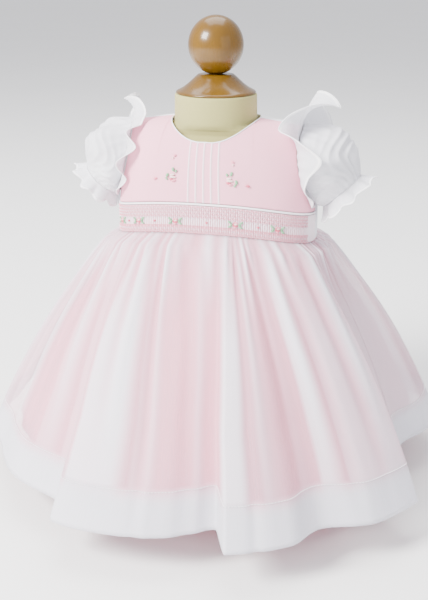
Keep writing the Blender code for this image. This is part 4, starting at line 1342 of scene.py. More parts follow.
@dataclass
class Back:
    """Two plain back panels, the buttoned placket over them and three buttons."""

    finishes: Wardrobe
    placket_half: float = 7.0
    button_heights: tuple[float, ...] = (340.0, 310.0, 278.0)
    button_radius: float = 5.0

    def panel(self, side: Side) -> bpy.types.Object:
        """One back half: a grid from neck, shoulder and armhole down to the skirt seam.

        Args:
            side: which half.

        Returns:
            The cloth panel.
        """
        p = PATTERN
        neck_s, neck_v = p.neckline(np.radians(spread_keys(np.array((180.0, 160.0, 140.0, 120.0,
                                                                     102.0)), 6)))
        arm_s, arm_v = p.armhole(np.radians(np.linspace(360.0, 180.0, 55)))
        arm_s[0] = math.pi - float(p.armhole(np.array(0.0))[0])
        neck_point = math.pi - float(p.turn_at(p.neck_half_width, 1.0))
        shoulder = np.linspace(neck_point, arm_s[0], 25)
        top_s = np.concatenate((neck_s, shoulder, arm_s[1:]))
        top_v = np.concatenate((neck_v, np.ones(25), arm_v[1:]))
        low = (180.0, 173.0, 166.0, 159.0, 153.0, 148.0, 144.0, 139.5, 135.0, 131.0, 129.0, 126.0,
               123.0, 119.5, 115.0, 109.0, 101.0, 93.0, math.degrees(p.side_turn))
        ways = (1.0, 1.0, 1.0, 1.0, 1.0, 1.3, 1.7, 2.2, 2.6, 3.0, 3.0, 3.0, 2.5, 1.8, 1.0, 1.0,
                1.0, 1.0, 1.0)
        at = np.linspace(0.0, len(low) - 1.0, len(top_s))
        low_s = np.radians(np.interp(at, np.arange(len(low)), low))
        sway = np.interp(at, np.arange(len(ways)), ways)
        top_s[-1] += math.radians(0.12)
        low_s[-1] += math.radians(0.12)
        low_v = -p.band_depth / p.profile_length
        share, turn, v = p.patch(low_s, top_s, low_v, top_v, sway)
        s = side.value * turn
        points = p.at(s, v)
        points[0, top_v > 0.9999, 1] += 0.15
        points[:, 0, 0] += side.value * 0.15
        wave = 0.5 * np.sin(7.0 * s + 2.0 * v) * np.sin(6.0 * v) * smooth(1.0 - share, 0.0, 0.3)
        points = points + (wave * smooth(share, 0.0, 0.2) - 0.4)[..., None] * p.normal(s, v)
        piece = cloth_piece("back_cloth_" + side.word, points, self.finishes.cotton,
                            thickness=0.5)
        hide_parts("back_" + side.word)
        return piece

    def strip(self) -> bpy.types.Object:
        """The placket: a narrow strip down the centre back with pressed edges."""
        p = PATTERN
        top = float(p.neckline(np.array([math.pi]))[1][0])
        v = np.linspace(top - 0.01, -p.band_depth / p.profile_length, 80)[:, None]
        half = self.placket_half
        across = np.linspace(-half, half, 29)[None, :]
        turn = math.pi - np.sign(across) * (np.abs(across) / p.half_width) ** (1.0 / p.roundness)
        points = p.at(turn, v)
        normal = unit(grid_normals(points, False))
        if normal[..., 1].mean() < 0.0:
            normal = -normal
        edge = 0.5 * bump(np.abs(across) - half + 1.3, 0.5)
        lift = 1.35 + 0.1 * np.sin(160.0 * v) - edge
        points = points + lift[..., None] * normal
        piece = cloth_piece("placket_cloth", points, self.finishes.cotton, thickness=0.9)
        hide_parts("back_placket")
        return piece

    def seams(self) -> bpy.types.Object:
        """Rows of small stitches along both edges of the placket."""
        p = PATTERN
        top = float(p.neckline(np.array([math.pi]))[1][0])
        v = np.linspace(top - 0.03, -0.95 * p.band_depth / p.profile_length, 48)
        parts = []
        for across in (-self.placket_half + 1.3, self.placket_half - 1.3):
            size = (abs(across) / p.half_width) ** (1.0 / p.roundness)
            turn = math.pi - math.copysign(size, across)
            first = p.at(turn + 0.0 * v[:-1], v[:-1])
            last = p.at(turn + 0.0 * v[:-1], v[:-1] * 0.35 + v[1:] * 0.65)
            normal = p.normal(turn + 0.0 * v[:-1], v[:-1])
            parts.append((first + 0.95 * normal, last + 0.95 * normal, normal))
        piece = stitch_piece("placket_stitches", *(np.concatenate(k) for k in zip(*parts)), 0.16,
                             self.finishes.white_thread, 0.1)
        return piece

    def button(self, number: int, height: float) -> bpy.types.Object:
        """A round button: a rim round a sunk middle, held by two bars of thread.

        Args:
            number: the button's number from the top.
            height: height of its centre.

        Returns:
            The button.
        """
        v = PATTERN.share_at(np.array([math.pi]), np.array([height]))
        place = PATTERN.at(np.array([math.pi]), v)[0]
        rise = PATTERN.at(np.array([math.pi]), v + 0.01)[0] - place
        out = unit(np.array((0.0, rise[2], -rise[1])))
        right = np.array((1.0, 0.0, 0.0))
        upward = np.cross(out, right)
        r = self.button_radius
        outline = np.array(((0.0, 1.25), (1.6, 1.25), (r - 2.0, 1.3), (r - 1.3, 1.9), (r - 0.6, 2.0),
                            (r - 0.1, 1.6), (r, 1.0), (r - 0.15, 0.3), (r - 0.6, 0.0), (0.0, 0.0)))
        piece = turned_piece("button_pearl_%d" % number, outline, 40, self.finishes.pearl)
        flat = np.empty(len(piece.data.vertices) * 3, dtype=np.float32)
        piece.data.vertices.foreach_get("co", flat)
        local = flat.reshape(-1, 3).astype(float)
        centre = (place + 1.9 * out) * MM
        world = centre + local[:, :1] * right + local[:, 1:2] * -upward + local[:, 2:] * out
        piece.data.vertices.foreach_set("co", world.reshape(-1).astype(np.float32))
        piece.data.update()
        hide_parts("button_%d" % number)
        bars = np.array((-0.75, 0.75))[:, None] * upward
        seat = place + 3.35 * out
        stitch_piece("button_thread_%d" % number, seat + bars - 1.0 * right,
                     seat + bars + 1.0 * right, np.tile(out, (2, 1)), 0.28,
                     self.finishes.white_thread, 0.25)
        return piece

    def build(self) -> None:
        """Make the panels, placket, stitches and buttons."""
        self.panel(Side.LEFT)
        self.panel(Side.RIGHT)
        self.strip()
        self.seams()
        for number, height in enumerate(self.button_heights, start=1):
            log.info("button %s", self.button(number, height).name)


# skirt


@dataclass
class Skirt:
    """Sheer overlay in two panels over a plain pink underskirt."""

    finishes: Wardrobe
    hem_height: float = 40.0
    hem_radius: float = 245.0
    hem_band: float = 0.842
    gather_waves: int = 24
    gather_height: float = 3.2
    bell: float = 0.10
    puff: float = 8.0
    # hem azimuth, hem radius, azimuth at the waist
    folds: tuple[tuple[float, float, float], ...] = (
        (-180.0, 238.0, -180.0),
        (-166.0, 254.0, -167.0),
        (-151.0, 233.0, -153.0),
        (-137.0, 256.0, -139.0),
        (-121.0, 232.0, -123.0),
        (-105.0, 250.0, -107.0),
        (-90.0, 238.0, -92.0),
        (-74.0, 244.0, -78.0),
        (-60.0, 233.0, -68.0),
        (-46.0, 236.0, -56.0),
        (-28.0, 228.0, -38.0),
        (-21.5, 257.0, -30.0),
        (-9.0, 250.0, -18.0),
        (3.0, 240.0, -8.0),
        (13.8, 222.0, 5.0),
        (15.6, 262.0, 8.5),
        (28.5, 257.0, 16.0),
        (37.0, 240.0, 22.0),
        (49.0, 257.0, 40.0),
        (61.5, 258.0, 60.0),
        (66.5, 214.0, 65.0),
        (76.0, 199.0, 74.0),
        (87.0, 203.0, 85.0),
        (100.0, 234.0, 98.0),
        (114.0, 250.0, 112.0),
        (129.0, 231.0, 128.0),
        (145.0, 254.0, 144.0),
        (160.0, 234.0, 160.0),
        (172.0, 246.0, 172.0),
    )
    # hem azimuth, half width in degrees, height, share of the way down where it fades out
    creases: tuple[tuple[float, float, float, float], ...] = (
        (-70.0, 3.0, 3.0, 0.7),
        (-63.0, 2.2, -2.5, 0.6),
        (-55.0, 2.4, 3.2, 0.75),
        (-44.0, 2.0, -2.6, 0.6),
        (-36.0, 2.2, 3.0, 0.7),
        (-16.0, 1.6, -2.4, 0.55),
        (-12.0, 1.8, 2.4, 0.6),
        (-4.0, 1.3, -3.0, 0.9),
        (-1.5, 1.3, 2.2, 0.95),
        (6.0, 1.6, -2.6, 0.95),
        (9.5, 1.4, 2.4, 1.2),
        (21.5, 1.2, -2.2, 1.3),
        (25.0, 1.6, 2.0, 0.8),
        (33.0, 1.6, -2.6, 0.9),
        (42.0, 1.8, 3.0, 0.7),
        (46.0, 1.4, -2.4, 0.9),
        (54.0, 1.8, -2.6, 0.8),
        (58.0, 1.6, 2.2, 0.6),
        (105.0, 2.0, 3.0, 0.7),
        (121.0, 2.0, -2.6, 0.8),
        (137.0, 2.0, 2.8, 0.7),
        (152.0, 2.0, -2.6, 0.8),
        (166.0, 2.0, 2.8, 0.7),
        (-173.0, 2.0, -2.6, 0.8),
        (-158.0, 2.0, 2.8, 0.7),
        (-144.0, 2.0, -2.6, 0.8),
        (-129.0, 2.0, 2.8, 0.7),
        (-113.0, 2.0, -2.6, 0.8),
        (-98.0, 2.0, 2.8, 0.7),
    )

    # hem azimuth from, to and how white the overlay lies there
    panels: tuple[tuple[float, float, float], ...] = (
        (-100.0, -70.0, 0.45),
        (-66.0, -61.0, 0.28),
        (-57.0, -52.0, 0.24),
        (-40.0, -33.0, 0.28),
        (-30.0, -22.5, 0.3),
        (-21.5, -9.0, 0.95),
        (-6.0, -2.5, 0.35),
        (14.8, 20.5, 1.0),
        (24.0, 27.0, 0.2),
        (33.0, 35.0, 0.4),
        (39.0, 42.5, 0.75),
        (45.0, 61.8, 0.62),
        (66.0, 100.0, 0.6),
        (108.0, 120.0, 0.7),
        (139.0, 151.0, 0.7),
        (166.0, 179.0, 0.7),
        (-172.0, -160.0, 0.7),
        (-143.0, -131.0, 0.7),
        (-111.0, -103.0, 0.7),
    )

    def whiteness(self, s: Array) -> Array:
        """How white the overlay lies at a turn, from the panel table with eased sides."""
        degrees = np.degrees(wrapped(s))
        total = np.zeros_like(degrees)
        for start, stop, strength in self.panels:
            side = smooth(degrees, start - 0.6, start + 0.6) * (1.0 - smooth(degrees, stop - 2.0,
                                                                             stop + 2.5))
            total = np.maximum(total, strength * side)
        return total

    def gathering(self, s: Array, t: Array) -> Array:
        """How far gathers and fullness under the band stand out of a plain cone.

        One set of waves follows the frame's gathers. Finer sets at other counts make them
        uneven, and the fullness dies away down the skirt.

        Args:
            s: turn at the hem.
            t: share of the way down.

        Returns:
            The distance outwards.
        """
        waves = 0.5 * (1.0 + np.cos(self.gather_waves * s)) * self.gather_height
        waves = waves * np.exp(-t / 0.16)
        fine = 0.9 * np.cos(61.0 * s + 0.7) + 0.8 * np.cos(83.0 * s + 1.9)
        fine = fine + 0.6 * np.cos(107.0 * s + 0.3 + 9.0 * t)
        waves = (waves + fine * np.exp(-t / 0.15)) * np.minimum(t / 0.03, 1.0)
        return waves + self.puff * np.minimum(t / 0.04, 1.0) * np.exp(-t / 0.4)

    def creasing(self, s: Array, t: Array) -> Array:
        """Soft ridges and troughs by the crease table: they narrow and sharpen upwards."""
        degrees = np.degrees(s)
        total = np.zeros(np.broadcast(s, t).shape)
        for azimuth, half_width, height, fade in self.creases:
            apart = (degrees - azimuth + 180.0) % 360.0 - 180.0
            shape = bump(apart, half_width) * np.exp(-((t / fade) ** 4))
            total = total + height * shape * smooth(t, 0.0, 0.12)
        return total

    def at(self, s: Array, t: Array, lift: Array | float = 0.0) -> Array:
        """Points of the skirt.

        Each fold is a straight line from its place at the waist to its place at the hem.
        The oval of the waist shrinks as the round hem's radius and fold grow with the bell.

        Args:
            s: turn at the hem in radians.
            t: share of the way from the band (0) to the hem (1).
            lift: further distance outwards.

        Returns:
            Points in millimetres.
        """
        p = PATTERN
        s, t = np.broadcast_arrays(np.asarray(s, dtype=float), np.asarray(t, dtype=float))
        degrees = np.degrees(s)
        waist = np.radians(around(degrees, self.folds, 2))
        fold = around(degrees, self.folds, 1) - self.hem_radius
        turn = waist + (s - waist) * (1.0 - (1.0 - t) ** 2.2)
        bell = t + self.bell * np.sin(math.pi * t)
        roundness = p.roundness + (1.0 - p.roundness) * np.clip(1.6 * t, 0.0, 1.0)
        spread = self.hem_radius * bell + fold * bell ** 0.8 + self.gathering(s, t) + lift
        wide = p.half_width * (1.0 - bell) + spread
        deep = p.depth(turn) * (1.0 - bell) + spread
        x = p.centre_x * (1.0 - t) + wide * signed_power(np.sin(turn), roundness)
        y = -deep * signed_power(np.cos(turn), roundness)
        start = p.seam_height(turn) - p.band_depth - 0.3
        return np.stack((x, y, start + (self.hem_height - start) * t), axis=-1)

    def overlay(self, word: str, start: float, stop: float, columns: int) -> bpy.types.Object:
        """One sheer panel, its hem turned up inside.

        The grid runs from the band to the hem, round the fold and back up the inside to the
        top of the hem band.

        Args:
            word: the panel's name.
            start: turn of its first side in degrees.
            stop: turn of its last side in degrees.
            columns: how many columns it has.

        Returns:
            The panel.
        """
        rough = np.radians(np.linspace(start, stop, 4000))
        s = even_columns(self.at(rough, np.full_like(rough, 0.8)), rough, columns)[None, :]
        down = np.concatenate((np.linspace(0.0, 0.1, 14)[:-1], np.linspace(0.1, 1.0, 54)))
        back = np.linspace(1.0, self.hem_band, 9)
        t = np.concatenate((down, back))[:, None]
        inside = np.concatenate((np.zeros(len(down)), np.ones(len(back))))[:, None]
        points = self.at(s, t, self.creasing(s, t))
        outer = self.at(s, down[:, None], self.creasing(s, down[:, None]))
        normal = grid_normals(outer, False)
        if (normal * (outer - np.array((0.0, 0.0, 150.0)))).sum(axis=-1).mean() < 0.0:
            normal = -normal
        above = np.floor(np.interp(back, down, np.arange(len(down)))).astype(int)
        normal = np.concatenate((normal, normal[above]))
        points = points - (inside * 0.75)[..., None] * normal
        ridge = self.whiteness(s) * smooth(t, 0.0, 0.35)
        top = 1.0 - smooth(t, 0.0, 0.3)
        streak = 0.5 + 0.3 * np.cos(61.0 * s + 0.7) + 0.25 * np.cos(83.0 * s + 1.9)
        streak = streak + 0.3 * np.cos(self.gather_waves * s)
        veil = ridge + top * streak * 0.85 + 0.12 * self.creasing(s, t)
        band = smooth(t, self.hem_band - 0.004, self.hem_band)
        veil = np.clip(veil, 0.0, 1.0)
        blush = np.clip(0.85 - 0.75 * veil - 0.08 * self.creasing(s, t), 0.0, 0.85)
        blush = blush * (1.0 - smooth(t, self.hem_band - 0.01, self.hem_band + 0.05))
        veil = np.clip(veil * (1.0 - band) + 0.42 * band, 0.0, 1.0)
        piece = cloth_piece("overlay_" + word, points, self.finishes.organdie, thickness=0.25,
                            centre=(0.0, 0.0, 150.0), veil=veil, tint=blush)
        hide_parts("skirt_" + word)
        return piece

    def hem_row(self, word: str, start: float, stop: float) -> bpy.types.Object:
        """The stitched line along the top of the hem band."""
        rough = np.radians(np.linspace(start, stop, 4000))
        t = self.hem_band + 0.004
        line = self.at(rough, np.full_like(rough, t))
        length = float(np.linalg.norm(np.diff(line, axis=0), axis=1).sum())
        s = even_columns(line, rough, int(length / 3.0))
        first = self.at(s[:-1], np.full(len(s) - 1, t), self.creasing(s[:-1], t))
        end = s[:-1] + 0.78 * np.diff(s)
        last = self.at(end, np.full(len(end), t), self.creasing(end, t))
        out = np.stack((np.sin(s[:-1]), -np.cos(s[:-1]), 0.0 * s[:-1]), axis=-1)
        piece = stitch_piece("hem_stitches_" + word, first + 0.25 * out, last + 0.25 * out, out,
                             0.42, self.finishes.white_thread, 0.2)
        return piece

    def underskirt(self) -> bpy.types.Object:
        """The pink underskirt: the overlay's folds at half their depth, well inside them.

        Returns:
            The closed underskirt.
        """
        s = np.linspace(-math.pi, math.pi, 330, endpoint=False)[None, :]
        t = np.linspace(0.0, 0.93, 52)[:, None]
        fold = around(np.degrees(s), self.folds, 1) - self.hem_radius
        bell = t + self.bell * np.sin(math.pi * t)
        own = np.minimum(0.55 * fold, fold + 11.0)
        soft = 1.6 * np.sin(17.0 * s + 1.0) + 1.2 * np.sin(29.0 * s + 2.0 * t)
        lift = (own - fold - 21.0) * bell ** 0.8 - self.gathering(s, t) - 3.2
        points = self.at(s, t, lift + soft * smooth(t, 0.1, 0.5))
        edge = smooth(t, 0.9, 0.905) * 0.6
        piece = cloth_piece("underskirt_cloth", points, self.finishes.lining, closed=True,
                            centre=(0.0, 0.0, 150.0), thickness=0.5, tint=0.12 * edge)
        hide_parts("underskirt")
        return piece

    def build(self) -> None:
        """Make both layers and their stitching."""
        side = math.degrees(PATTERN.side_turn)
        front = self.overlay("front", -side + 0.09, side - 0.09, 350)
        back = self.overlay("back", side + 0.09, 360.0 - side - 0.09, 350)
        rows = [self.hem_row("front", -side + 0.5, side - 0.5),
                self.hem_row("back", side + 0.5, 360.0 - side - 0.5)]
        under = self.underskirt()
        log.info("skirt panels %s, %s and %s", front.name, back.name, under.name)


# sleeves


@dataclass
class Sleeve:
    """One puff sleeve with its cuff frill and the standing ruffle in the armhole seam."""

    finishes: Wardrobe
    side: Side
    reach: float
    cuff: float
    frill: float
    puff_folds: tuple[tuple[float, float, float, float], ...]
    ruffle_waves: tuple[tuple[float, float, float], ...]
    ruffle_cut: tuple[float, float]
    cuff_height: float = 307.0
    cuff_y: float = -2.0
    cuff_tilt: float = math.radians(42.5)
    frill_depth: float = 11.0
    gathers: int = 9
    # turn round the armhole, fullness of the puff
    fullness: tuple[tuple[float, float], ...] = (
        (0.0, 22.0),
        (50.0, 20.0),
        (90.0, 15.0),
        (135.0, 6.0),
        (180.0, 0.5),
        (225.0, 6.0),
        (270.0, 14.0),
        (310.0, 19.0),
    )

    def axes(self) -> tuple[Array, Array, Array, Array]:
        """The cuff's centre and its directions across, forward and down."""
        sign = self.side.value
        across = np.array((sign * math.cos(self.cuff_tilt), 0.0, math.sin(self.cuff_tilt)))
        down = np.array((sign * math.sin(self.cuff_tilt), 0.0, -math.cos(self.cuff_tilt)))
        centre = np.array((PATTERN.centre_x + sign * self.reach, self.cuff_y, self.cuff_height))
        return centre, across, np.array((0.0, -1.0, 0.0)), down

    def puff_at(self, beta: Array, q: Array, finer: bool = True) -> Array:
        """Points of the puff.

        A straight line leads from the armhole to the cuff circle, and the cloth stands out
        of it by its fullness times the sine of the way down, plus folds and gathers.

        Args:
            beta: turn round the armhole in radians.
            q: share of the way to the cuff.
            finer: whether to add the creases that are finer than the frame's.

        Returns:
            Points in millimetres.
        """
        centre, across, forward, down = self.axes()
        sign = self.side.value
        beta, q = np.broadcast_arrays(np.asarray(beta, dtype=float), np.asarray(q, dtype=float))
        start = PATTERN.arm_edge(beta, self.side)
        start[..., 0] += sign * 1.8
        ring = np.cos(beta)[..., None] * across + np.sin(beta)[..., None] * forward
        end = centre + self.cuff * ring
        up = np.stack((0.0 * beta, -np.sin(beta), np.cos(beta)), axis=-1)
        direction = ring + 0.25 * up
        direction[..., 0] = sign * np.maximum(sign * direction[..., 0], 0.0)
        direction = unit(direction)
        swell = np.sin(math.pi * q)
        full = around(np.degrees(beta), self.fullness, 1) * swell
        for at_arm, at_cuff, half_width, height in self.puff_folds:
            middle = np.radians(at_arm + (at_cuff - at_arm) * q)
            full = full + height * bump(wrapped(beta - middle), math.radians(half_width)) * swell
        gathers = np.cos(self.gathers * beta) * np.sin(math.pi * np.clip(q, 0.0, 1.0)) ** 0.5
        gathers = gathers * (1.3 * np.exp(-q / 0.22) + 1.6 * np.exp(-(1.0 - q) / 0.22))
        gathers = gathers * (0.5 + 0.5 * np.cos(beta))
        if finer:
            open_side = 0.35 + 0.65 * (0.5 + 0.5 * np.cos(beta))
            near_arm = np.exp(-q / 0.16)
            near_cuff = np.exp(-(1.0 - q) / 0.14)
            edges = np.sin(math.pi * q) ** 0.6
            fine = 0.8 * np.cos(23.0 * beta + 0.6) + 0.6 * np.cos(34.0 * beta + 2.0)
            gathers = gathers + fine * (near_arm + near_cuff) * edges * open_side
            bend = beta + 0.5 * np.sin(5.0 * q + 2.0 * beta)
            crush = 1.2 - 3.0 * np.abs(np.sin(4.5 * bend + 4.0 * q + 0.4 * self.side.value))
            crush = crush * np.sin(7.0 * q + 2.0 * bend)
            ripple = 0.8 - 1.8 * np.abs(np.sin(9.5 * bend - 6.0 * q + 1.0))
            gathers = gathers + (crush + ripple) * swell * open_side
        return (start * (1.0 - q[..., None]) + end * q[..., None]
                + (full + gathers)[..., None] * direction)

    def puff(self) -> bpy.types.Object:
        """The sheer puff, denser where it is gathered into the armhole and the cuff."""
        beta = np.linspace(0.0, TURN, 210, endpoint=False)[None, :]
        q = np.linspace(0.0, 1.0, 62)[:, None]
        points = self.puff_at(beta, q)
        veil = np.exp(-q / 0.1) + np.exp(-(1.0 - q) / 0.07)
        veil = np.clip(veil * (0.6 + 0.4 * np.cos(23.0 * beta + 0.6)), 0.0, 1.0)
        middle = tuple(points.mean(axis=(0, 1)))
        piece = cloth_piece("puff_" + self.side.word, points, self.finishes.sleeve_cloth,
                            closed=True, centre=middle, thickness=0.3, veil=veil)
        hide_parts("sleeve_" + self.side.word)
        return piece

    def frill_at(self, beta: Array, u: Array) -> Array:
        """Points of the frill: it flares from the cuff to its own radius and waves more
        towards its free edge."""
        centre, across, forward, down = self.axes()
        beta, u = np.broadcast_arrays(np.asarray(beta, dtype=float), np.asarray(u, dtype=float))
        wave = 2.6 * np.cos(9.0 * beta) + 1.2 * np.sin(4.0 * beta + 0.6)
        wave = wave + 0.5 * np.cos(19.0 * beta + 1.0)
        radius = self.cuff + (self.frill - self.cuff) * u + wave * u
        dip = (1.4 * np.cos(9.0 * beta + 0.9) + 0.5 * np.cos(14.0 * beta)) * u
        ring = np.cos(beta)[..., None] * across + np.sin(beta)[..., None] * forward
        drop = 0.3 + self.frill_depth * u + dip
        return centre + ring * radius[..., None] + down * drop[..., None]

    def cuff_frill(self) -> bpy.types.Object:
        """The frill under the cuff."""
        beta = np.linspace(0.0, TURN, 260, endpoint=False)[None, :]
        u = np.linspace(0.0, 1.0, 16)[:, None]
        points = self.frill_at(beta, u)
        middle = tuple(points.mean(axis=(0, 1)))
        veil = np.clip(np.exp(-u / 0.15) + smooth(u, 0.86, 0.9), 0.0, 1.0)
        piece = cloth_piece("frill_" + self.side.word, points, self.finishes.sleeve_cloth,
                            closed=True, centre=middle, thickness=0.3, veil=veil,
                            tint=smooth(u, 0.86, 0.9))
        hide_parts("cuff_frill_" + self.side.word)
        return piece

    def ruffle_at(self, beta: Array, u: Array) -> Array:
        """Points of the ruffle: it leaves the seam upright and leans over by its table."""
        sign = self.side.value
        beta, u = np.broadcast_arrays(np.asarray(beta, dtype=float), np.asarray(u, dtype=float))
        degrees = np.degrees(beta)
        width = around(degrees, self.ruffle_waves, 1)
        lean = np.radians(around(degrees, self.ruffle_waves, 2)) * u ** 1.2
        small = np.minimum(width / 20.0, 1.0) * np.exp(-u / 0.3) * np.sin(math.pi * u) ** 0.5
        lean = lean + 0.14 * np.cos(31.0 * beta) * small
        up = np.stack((0.0 * beta, -np.sin(beta), np.cos(beta)), axis=-1)
        out = np.array((sign, 0.0, 0.0))
        base = PATTERN.arm_edge(beta, self.side) - 0.9 * up + 0.9 * out
        reach = (width * u)[..., None]
        return base + reach * (np.cos(lean)[..., None] * up + np.sin(lean)[..., None] * out)

    def ruffle(self) -> bpy.types.Object:
        """The standing ruffle."""
        beta = np.linspace(0.0, TURN, 320, endpoint=False)[None, :]
        u = np.linspace(0.0, 1.0, 28)[:, None]
        points = self.ruffle_at(beta, u)
        veil = np.clip(np.exp(-u / 0.15) + smooth(u, 0.92, 0.94), 0.0, 1.0) * np.ones_like(beta)
        inner = (PATTERN.centre_x - self.side.value * 200.0, 0.0, 330.0)
        piece = cloth_piece("ruffle_" + self.side.word, points, self.finishes.sleeve_cloth,
                            closed=True, centre=inner, thickness=0.3, veil=veil,
                            tint=smooth(u, 0.92, 0.94))
        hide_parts("armhole_ruffle_" + self.side.word)
        return piece

    def rolled_edges(self) -> list[bpy.types.Object]:
        """Fine rolled hems along the free edges of the ruffle and of the frill."""
        beta = np.linspace(0.0, TURN, 320, endpoint=False)
        edge = self.ruffle_at(beta, np.full_like(beta, 1.0))
        inner = self.ruffle_at(beta, np.full_like(beta, 0.9))
        first = cord_piece("ruffle_edge_" + self.side.word, edge, unit(edge - inner), 0.5, 6,
                           self.finishes.white_thread, True)
        edge = self.frill_at(beta, np.full_like(beta, 1.0))
        inner = self.frill_at(beta, np.full_like(beta, 0.9))
        second = cord_piece("frill_edge_" + self.side.word, edge, unit(edge - inner), 0.5, 6,
                            self.finishes.white_thread, True)
        return [first, second]

    def build(self) -> None:
        """Make the sleeve's pieces."""
        puff = self.puff()
        frill = self.cuff_frill()
        ruffle = self.ruffle()
        edges = self.rolled_edges()
        log.info("sleeve %s", self.side.word)


# studio


@dataclass
class Studio:
    """Pale floor, soft lights and the camera."""

    azimuth: float = math.radians(14.0)
    pitch: float = math.radians(19.6)

    def camera(self) -> None:
        """A camera one metre out at the photograph's angle and height."""
        data = bpy.data.cameras.new("camera")
        data.lens = 60.0
        data.sensor_fit = "VERTICAL"
        data.sensor_height = 36.0
        data.shift_x = -2.0 / 600.0
        item = bpy.data.objects.new("camera", data)
        item.location = (math.sin(self.azimuth), -math.cos(self.azimuth), 0.536)
        item.rotation_euler = (math.pi / 2.0 - self.pitch, 0.0, self.azimuth)
        bpy.context.scene.collection.objects.link(item)
        bpy.context.scene.camera = item

    def lamp(self, name: str, place: tuple[float, float, float], size: float, watts: float,
             colour: Colour) -> None:
        """A square soft light that looks at the middle of the dress.

        Args:
            name: the light's name.
            place: where it stands, in metres.
            size: its side.
            watts: its power.
            colour: its colour.
        """
        data = bpy.data.lights.new(name, "AREA")
        data.size = size
        data.energy = watts
        data.color = colour
        item = bpy.data.objects.new(name, data)
        item.location = place
        towards = Vector((0.0, 0.0, 0.22)) - Vector(place)
        item.rotation_euler = towards.to_track_quat("-Z", "Y").to_euler()
        bpy.context.scene.collection.objects.link(item)

    def floor(self) -> None:
        """A wide plain floor."""
        recipe = Recipe("pale floor")
        cloud = recipe.noise(recipe.place(), 3.0, 2.0)
        base = recipe.blend(cloud, (0.92, 0.92, 0.915, 1.0), (0.89, 0.89, 0.885, 1.0))
        material = recipe.finish(Base_Color=base, Roughness=0.9)
        mesh = bpy.data.meshes.new("floor")
        r = 12.0
        mesh.from_pydata([(-r, -r, 0.0), (r, -r, 0.0), (r, r, 0.0), (-r, r, 0.0)], [], [(0, 1, 2, 3)])
        mesh.materials.append(material)
        item = bpy.data.objects.new("floor", mesh)
        bpy.context.scene.collection.objects.link(item)

    def build(self) -> None:
        """Set up everything round the dress."""
        self.camera()
        self.floor()
        self.lamp("key", (-1.3, -1.5, 1.7), 0.9, 225.0, (1.0, 0.985, 0.96))
        self.lamp("fill", (1.8, -1.2, 0.9), 1.6, 10.0, (0.92, 0.93, 1.0))
        self.lamp("top", (-0.2, 0.6, 2.2), 1.6, 52.0, (1.0, 1.0, 1.0))
        world = bpy.data.worlds.new("studio air")
        world.use_nodes = True
        back = world.node_tree.nodes["Background"]
        back.inputs[0].default_value = (0.88, 0.88, 0.93, 1.0)
        back.inputs[1].default_value = 1.3
        bpy.context.scene.world = world


LEFT_FOLDS = (
    (55.0, 22.0, 15.0, 5.0),
    (26.0, -8.0, 14.0, -5.0),
    (88.0, 60.0, 16.0, -5.0),
)
RIGHT_FOLDS = (
    (40.0, 30.0, 15.0, -4.0),
    (70.0, 62.0, 15.0, 4.0),
    (105.0, 95.0, 14.0, -4.0),
)
# turn round the armhole, width, lean
LEFT_RUFFLE = (
    (0.0, 24.0, 32.0),
    (12.0, 25.0, -15.0),
    (26.0, 21.0, -50.0),
    (44.0, 20.0, -46.0),
    (60.0, 22.0, -8.0),
    (75.0, 24.0, -36.0),
    (93.0, 21.0, 10.0),
    (112.0, 19.0, -24.0),
    (132.0, 15.0, 8.0),
    (155.0, 9.0, 8.0),
    (180.0, 3.0, 20.0),
    (205.0, 6.0, 8.0),
    (235.0, 14.0, 12.0),
    (268.0, 25.0, 2.0),
    (300.0, 29.0, 42.0),
    (332.0, 29.0, 8.0),
)
RIGHT_RUFFLE = (
    (10.0, 43.0, 60.0),
    (30.0, 34.0, 15.0),
    (50.0, 29.0, -35.0),
    (65.0, 32.0, 10.0),
    (80.0, 38.0, 44.0),
    (98.0, 25.0, 28.0),
    (112.0, 22.0, 16.0),
    (130.0, 18.0, 30.0),
    (152.0, 12.0, 12.0),
    (180.0, 3.0, 20.0),
    (205.0, 6.0, 8.0),
    (235.0, 14.0, 12.0),
    (268.0, 27.0, 4.0),
    (300.0, 33.0, 42.0),
    (335.0, 36.0, 14.0),
)

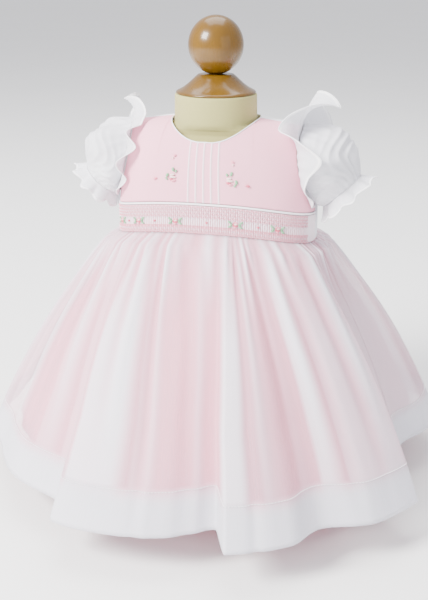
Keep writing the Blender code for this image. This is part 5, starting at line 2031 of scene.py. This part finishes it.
# turn in degrees, height, half length, slant in degrees, thread, thread radius
SPRAY_LEFT = (
    (-13.5, 344.0, 1.6, 20.0, "pink", 1.0),
    (-14.4, 341.6, 1.0, 60.0, "cream", 0.7),
    (-13.7, 331.0, 2.1, 100.0, "leaf", 1.35),
    (-12.0, 329.5, 1.6, 60.0, "leaf", 1.0),
    (-17.0, 325.2, 2.0, 60.0, "leaf", 1.35),
    (-17.4, 322.0, 1.6, 140.0, "leaf", 1.0),
    (-14.0, 326.0, 2.7, 12.0, "cream", 1.15),
    (-13.6, 323.8, 3.3, -4.0, "cream", 1.15),
    (-14.6, 321.6, 2.2, -12.0, "rose", 1.0),
    (-13.2, 320.6, 2.5, 8.0, "pink", 1.0),
    (-25.5, 320.5, 1.6, -10.0, "pink", 1.1),
    (-24.2, 321.0, 1.0, 30.0, "rose", 0.7),
)
SPRAY_RIGHT = (
    (13.0, 340.5, 1.6, -20.0, "pink", 1.0),
    (13.2, 338.0, 1.0, 80.0, "cream", 0.7),
    (12.2, 329.5, 2.2, 75.0, "leaf", 1.4),
    (10.0, 328.5, 1.6, 120.0, "leaf", 1.1),
    (14.8, 321.8, 2.2, 110.0, "leaf", 1.4),
    (14.0, 318.6, 1.6, 60.0, "leaf", 1.0),
    (11.0, 325.2, 2.6, 12.0, "cream", 1.15),
    (11.4, 323.0, 3.2, 0.0, "cream", 1.15),
    (10.6, 320.8, 2.4, -4.0, "rose", 1.0),
    (11.6, 319.4, 2.2, 10.0, "pink", 1.0),
    (21.3, 318.5, 1.8, 0.0, "rose", 1.1),
    (20.0, 319.0, 1.0, 30.0, "pink", 0.8),
)


def main() -> None:
    """Build the studio, the form and the dress, piece by piece."""
    logging.basicConfig(level=logging.INFO, format="%(message)s")
    Studio().build()
    finishes = make_wardrobe()
    DressForm(finishes).build()
    Yoke(finishes, spray_left=SPRAY_LEFT, spray_right=SPRAY_RIGHT).build()
    SmockedBand(finishes).build()
    Back(finishes).build()
    Skirt(finishes).build()
    Sleeve(finishes, Side.LEFT, 122.5, 21.5, 29.0, LEFT_FOLDS, LEFT_RUFFLE,
           (0.26, 0.024)).build()
    Sleeve(finishes, Side.RIGHT, 126.0, 24.0, 33.0, RIGHT_FOLDS, RIGHT_RUFFLE,
           (0.30, 0.030)).build()


if __name__ == "__main__":
    main()
